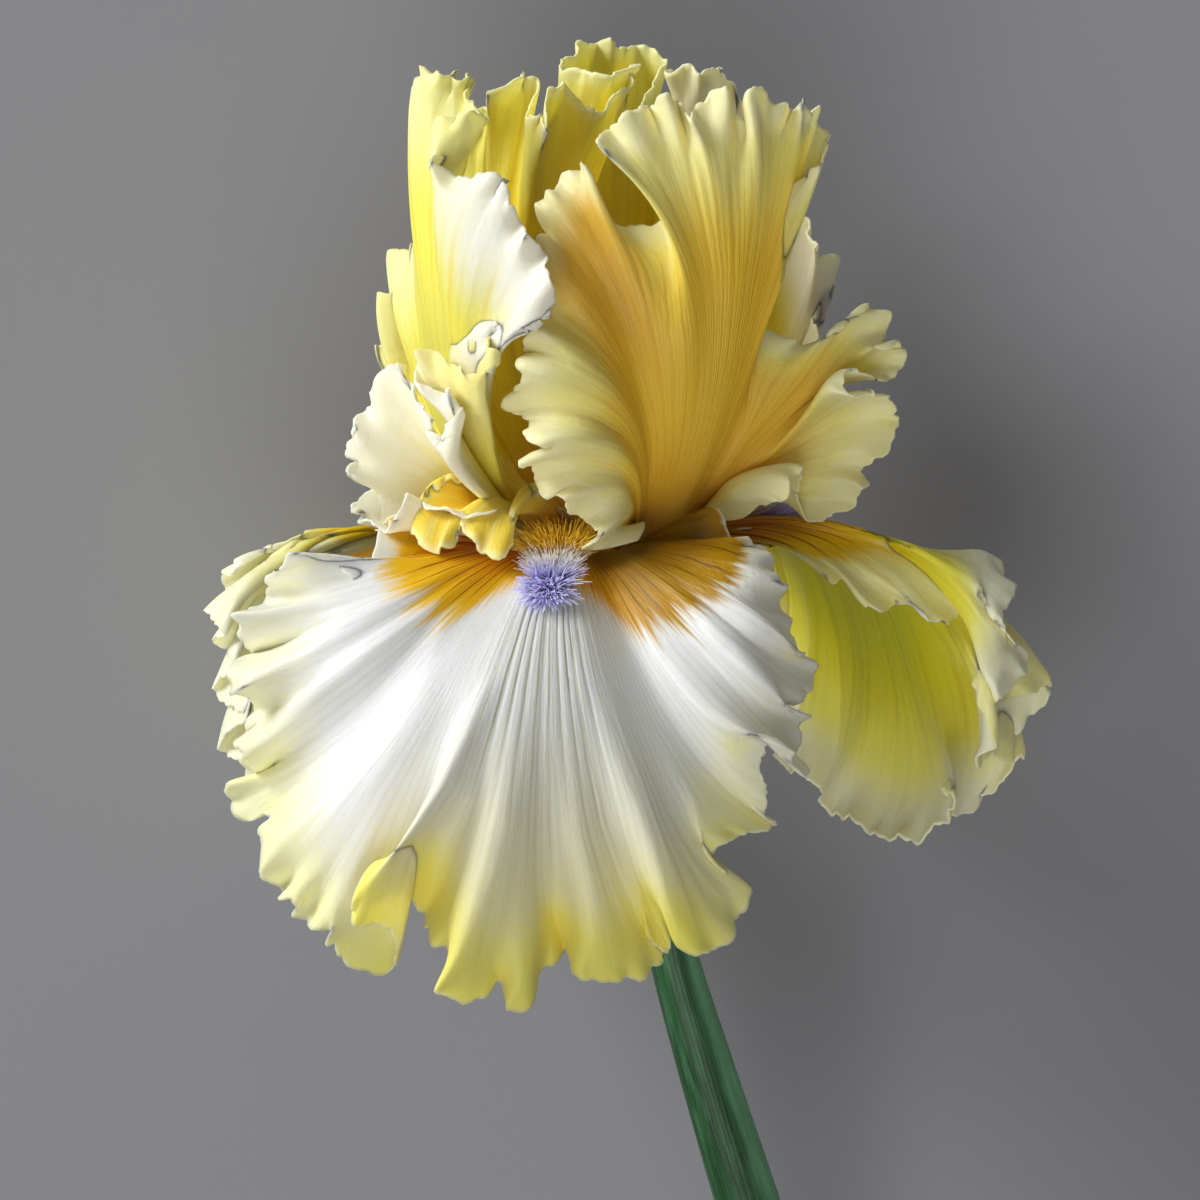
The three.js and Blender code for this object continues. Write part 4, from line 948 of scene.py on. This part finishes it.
STYLE_ROWS = [  # half width, along, out, drop of the edges
    (1.2, -0.1, 2.3, 0), (2.2, 8, 4.5, 0.8), (3.6, 13, 10, 2), (4.6, 14.5, 16, 3)]
STYLE_RIM = [
    [-4.6, 12, 17.5], [-5, 15, 20], [-3.6, 19, 21.5], [-1.6, 18.5, 22], [0, 14.8, 20],
    [1.6, 18.5, 22], [3.6, 19, 21.5], [5, 15, 20], [4.6, 12, 17.5]]
STYLE_FINISH = petal_material("style", style_recipe)
LEAF_THICKNESS = 0.5  # of style arms and bracts


def leaf(name, node, grid, s, t, inward, made):
    """A small blade of even thickness."""
    facts = {"place": places_on(s, t, inward)}
    mesh = blade_mesh(node, grid, np.full(inward.shape, LEAF_THICKNESS), 0, facts, 1)
    show(name, mesh, made, node)


def style_arm(side, azimuth, seed):
    """An arm that arches over the beard and ends in two small lobes."""
    rng = np.random.default_rng(seed)
    t, s = np.linspace(0, 1, 121), np.linspace(0, 1, 61)
    k = t * 2 - 1
    rows = [np.stack([k * half, y - drop * k * k, z + 0 * k], 1) for half, y, z, drop in STYLE_ROWS]
    rim = spline(STYLE_RIM, np.linspace(0, 1, len(STYLE_RIM)), t)
    run = run_of(rim)
    rim = rim + np.stack([0 * run, wavy(run, 3, rng) * 0.4, wavy(run, 4, rng) * 0.7], 1)
    grid = turned(bezier(rows + [rim], s), azimuth)
    leaf(f"style_{side}_arm", f"style_{side}", grid, s, t, to_rim(grid), STYLE_FINISH)


# The front style arm arches over the beard, and the two lobes of its crest hang to the left of it.
STYLE_FRONT = {
    "azimuth": -40, "hand": -1, "tip": 9, "claw": 2.2,
    "rim": [
        [-3, 13, 12], [-6, 14, 18], [-10.5, 12, 23], [-12.6, 10.5, 26], [-13, 7.5, 28], [-12.8, 4.6, 29],
        [-14.6, 2.6, 31], [-17.4, 3.9, 31], [-20, 6.4, 30], [-20.9, 8.6, 28], [-21.3, 6, 30],
        [-22.4, 4.2, 31], [-24.6, 3.5, 32], [-26.6, 4.6, 31], [-27.8, 7.4, 28], [-26, 12, 24],
        [-22, 15, 18], [-14, 15, 12],
    ],
    "rows": [
        [[-1, 6, 4], [-2, 8, 5], [-3, 9, 6], [-4, 9.5, 6], [-5, 9.5, 6], [-6, 9.5, 6], [-7, 9, 5],
         [-7, 8, 4], [-6, 6, 3]],
        [[-3, 13, 11], [-6, 17, 16], [-9, 20, 20], [-12, 21, 22], [-15, 21, 22], [-18, 21, 21],
         [-20, 20, 19], [-19, 17, 15], [-12, 14, 10]],
    ],
    "frills": [(6, 0.7), (3, 0.2)],
}


def front_style_arm():
    """The front arm, drawn as a small petal."""
    s, t = np.linspace(0, 1, 81), np.linspace(0, 1, 241)
    grid, inward = sheet(STYLE_FRONT, s, t, 9)
    leaf("style_front_arm", "style_front", grid, s, t, inward, STYLE_FINISH)


def tube_mesh(name, centres, radii, turn, flatten=1.0, shape=1.0):
    """A closed tube through centres, each ring square to the way there.

    turn are the angles of a ring's corners, and shape scales their radii.
    """
    around = rings(unit(np.gradient(centres, axis=0)), UPWARDS, turn, flatten)
    points = centres[:, None] + around * (radii[:, None] * shape)[..., None]
    index = np.arange(len(centres) * len(turn)).reshape(-1, len(turn))
    following = np.roll(index, -1, axis=1)
    walls = np.stack([index[:-1], index[1:], following[1:], following[:-1]], -1).reshape(-1, 4)
    mesh = new_mesh(name, points, walls.tolist() + [index[0].tolist(), index[-1][::-1].tolist()])
    along = run_of(centres) / run_of(centres)[-1]
    place = np.broadcast_arrays(turn / (2 * np.pi), along[:, None], radii[:, None])
    add_fact(mesh, "place", np.stack(place, -1))
    return mesh


def stamen_material(name, light, dark):
    """A fine grain of two near colours."""
    made, wire, shader = material(name, 0.6, 0.3, 0.4, 0.0006)
    grain = wire.noise(wire.fact("place", "Vector"), 60, 3)
    finish_material(wire, shader, grain.rise(0.35, 0.7).over(dark, light), grain, 0.0001)
    return made


STAMEN_ALONG, STAMEN_ROUND = np.linspace(0, 1, 25), turns(20)
STAMEN_FLATTEN = 0.7
STAMEN = {
    # start and end, radii on the way, shape round it, finish; an anther is pinched between its lobes
    "filament": (
        [0, 0, 3.6], [0, 7.6, 9.2], 0.42 * (1.1 - 0.3 * STAMEN_ALONG),
        1.0, stamen_material("filament", "#f4ecc8", "#e2c878")),
    "anther": (
        [0, 8, 9.6], [0, 10.4, 16.6], 0.8 * np.sin(np.pi * (0.06 + 0.88 * STAMEN_ALONG)) ** 0.4,
        1 - 0.22 * np.abs(np.cos(STAMEN_ROUND)) ** 8, stamen_material("anther", "#f5efd6", "#cdbb86")),
}


def stamen(side, azimuth):
    """A filament and its anther, under a style arm."""
    for name, (start, end, radii, shape, made) in STAMEN.items():
        line = turned(np.outer(1 - STAMEN_ALONG, start) + np.outer(STAMEN_ALONG, end), azimuth)
        node = f"{name}_{side}"
        mesh = tube_mesh(node, line, radii, STAMEN_ROUND, STAMEN_FLATTEN, shape)
        show(node + "_fine", mesh, made, node)


for seed, side in enumerate(BEARDS, 51):
    azimuth = PETALS["fall_" + side][0]["azimuth"]
    if side != "front":
        style_arm(side, azimuth, seed)
    stamen(side, azimuth)

front_style_arm()


# ---- Tube, stem and bracts ----

TUBE_PROFILE = [
    # depth under the throat, radius: cup, perianth tube, ovary, foot
    [CUP_DEPTH, CUP_RADIUS], [1.7, 5.6], [4, 3.9], [8, 3.1], [14, 2.7], [18, 3], [22, 4], [28, 4.7],
    [36, 4.8], [43, 4.4], [47.5, 4], [50, 3.8],
]
STEM_POINTS = [
    [11.42, -50.3, -10.06], [13.6, -62, -12.6], [18.8, -80, -17.4], [26.8, -106, -26],
    [34.8, -132, -36], [43.6, -160, -48], [51.6, -184, -60.8],
]
STEM_RADII = [3.9, 4, 4.6, 5.3, 5.6, 5.7, 5.8]
GREEN_ROUND = turns(72)
LIT_SIDE = math.pi  # round the tube or stem, the side that faces the key light, where a highlight is painted over the green


def green_material(name, light, dark, streaks):
    """Streaked green under a waxy bloom, with a painted highlight on the side towards the key light."""
    made, wire, shader = material(name, 0.36, 0.4, 0.08, 0.0012)
    around, along, _ = wire.fact("place", "Vector").parts()
    turn = around * 2 * math.pi
    x, y = turn.math("COSINE"), turn.math("SINE")
    lines = wire.noise(wire.vector(x * streaks, y * streaks, along * 6), 1, 4, 0.6)
    bloom = wire.noise(wire.vector(x, y, along * 5), 2.2, 4, 0.6)
    colour = lines.rise(0.3, 0.72).over(dark, light)
    # painted highlight on the side towards the key light, mixed with the waxy bloom's own pale patches
    lit = (turn - LIT_SIDE).math("COSINE").rise(0.2, 0.95)
    colour = (bloom.rise(0.42, 0.75) * 0.18 + lit * 0.45).over(colour, "#8fd0a0")
    finish_material(wire, shader, colour, lines, 0.00012, 0.28 + 0.3 * bloom)
    return made


def ovary_tube():
    """The perianth tube and the ovary, which has six low ribs."""
    profile = np.array(TUBE_PROFILE)
    depth = np.linspace(profile[0, 0], profile[-1, 0], 90)
    radii = spline(profile[:, 1:], profile[:, 0], depth)[:, 0]
    ribbed = ramp(depth, 17, 24) * ramp(depth, 50, 44)
    ribs = 1 + 0.06 * ribbed[:, None] * np.cos(6 * GREEN_ROUND)
    mesh = tube_mesh("ovary_tube", depth[:, None] * TUBE_LEAN, radii, GREEN_ROUND, shape=ribs)
    show("ovary_tube_fine", mesh, green_material("tube", "#7fae62", "#3f7a44", 9), "ovary_tube")


def stem():
    """The stem, from the ovary's foot to the cut end."""
    u = np.linspace(0, 1, 160)
    knots = np.linspace(0, 1, len(STEM_POINTS))
    radii = spline(np.array(STEM_RADII)[:, None], knots, u)[:, 0]
    mesh = tube_mesh("stem", spline(STEM_POINTS, knots, u), radii, GREEN_ROUND)
    show("stem_fine", mesh, green_material("stem", "#28632f", "#0b2710", 14), "stem")


def bract_material():
    """Green with veins, and dry and brown at the edges."""
    made, wire, shader = material("bract", 0.6, 0.3, 0.5, 0.0008)
    blade = Blade(wire)
    veins = blade.veins(26, 0.3)
    dry = (blade.inward + blade.cloud * 6).rise(6, 2)
    field = blade.along.rise(0.2, 0.9).over("#7f9a52", "#a9a468")
    field = (dry * 0.9).over(field, "#c8ab7c")
    colour = (veins * 0.35).over(field, "#5f7a3c")
    finish_material(wire, shader, colour, blade.fibres(160, 4) - veins * 0.5, 0.0002)
    return made


BRACT_FINISH = bract_material()
FOOT_RADIUS = 4.1  # at their foot, where they close round the stem
SPATHES = {
    # azimuth, radius, from and to down the tube, bulge, half of the arc in degrees
    "spathe_outer": (80, 6.1, 49.6, 9, 3.4, 118),
    "spathe_inner": (260, 5, 49.2, 14, 3.1, 104),
}


def spathe(node):
    """A papery bract that wraps the ovary and narrows to a point."""
    azimuth, radius, start, end, bulge, arc = SPATHES[node]
    s, t = np.linspace(0, 1, 71), np.linspace(0, 1, 91)
    depth = start + (end - start) * s
    half = np.radians(arc) * (1 - s ** 2.6) ** 0.8 + 0.02
    r = radius + bulge * np.sin(np.pi * np.minimum(1, s ** 0.8)) - 0.2 * radius * s ** 5
    r = FOOT_RADIUS + (r - FOOT_RADIUS) * ramp(s, -0.03, 0.16)
    turn = math.radians(azimuth) + (t[None] * 2 - 1) * half[:, None]
    ring = np.stack([np.sin(turn), 0 * turn, np.cos(turn)], -1) * r[:, None, None]
    grid = depth[:, None, None] * TUBE_LEAN + ring
    inward = np.minimum((1 - np.abs(t * 2 - 1))[None] * (half * r)[:, None], (depth - end)[:, None])
    leaf(node + "_fine", node, grid, s, t, inward, BRACT_FINISH)


ovary_tube()
stem()

for node in SPATHES:
    spathe(node)


# ---- Floor, light and camera ----

FLOOR_SIZE, FLOOR_GAP = 6.0, 0.0003  # in metres; the gap is under the flower
LIT_POINT = np.array([0, 0.02, 0.06])  # what the lights face, in metres


def floor():
    """The plain grey ground, which isn't a piece of the flower."""
    corner = FLOOR_SIZE / 2
    corners = [(-corner, -corner, 0), (corner, -corner, 0), (corner, corner, 0), (-corner, corner, 0)]
    mesh = bpy.data.meshes.new("floor")
    mesh.from_pydata(corners, [], [(0, 1, 2, 3)])
    made = bpy.data.materials.new("floor")
    made.use_nodes = True
    shader = next(node for node in made.node_tree.nodes if node.type == "BSDF_PRINCIPLED")
    shader.inputs["Base Color"].default_value = tint("#87888d")
    shader.inputs["Roughness"].default_value = 0.9
    mesh.materials.append(made)
    ground = bpy.data.objects.new("floor", mesh)
    ground.location.z = -FLOOR_GAP
    bpy.context.scene.collection.objects.link(ground)


def softbox(name, place, size, power):
    """A soft light that faces the flower from a place in metres."""
    lamp = bpy.data.lights.new(name, "AREA")
    lamp.shape = "DISK"
    lamp.size = size
    lamp.energy = power
    light = bpy.data.objects.new(name, lamp)
    light.location = place
    way = LIT_POINT - place
    yaw, tilt = math.atan2(way[1], way[0]), math.acos(-way[2] / np.linalg.norm(way))
    light.rotation_euler = (tilt, 0, yaw - math.pi / 2)
    bpy.context.scene.collection.objects.link(light)


floor()
softbox("key", (-2.5, 1.8, 1.1), 1.7, 113)
softbox("fill", (-0.3, -0.8, 1.6), 1.2, 14)
world = bpy.data.worlds.new("studio")
world.use_nodes = True
sky = world.node_tree.nodes["Background"].inputs
sky["Color"].default_value = tint("#e6e4e2")
sky["Strength"].default_value = 0.25
scene = bpy.context.scene
scene.world = world
scene.view_settings.view_transform = "Standard"

SENSOR = 36  # its width, in millimetres
camera = bpy.data.cameras.new("camera")
camera.sensor_width = SENSOR
camera.lens = SENSOR * VIEW / VIEW_WIDTH
eye = bpy.data.objects.new("camera", camera)
eye.location = (THROAT + np.array([*VIEW_AXIS, VIEW])) * MM
scene.collection.objects.link(eye)
scene.camera = eye
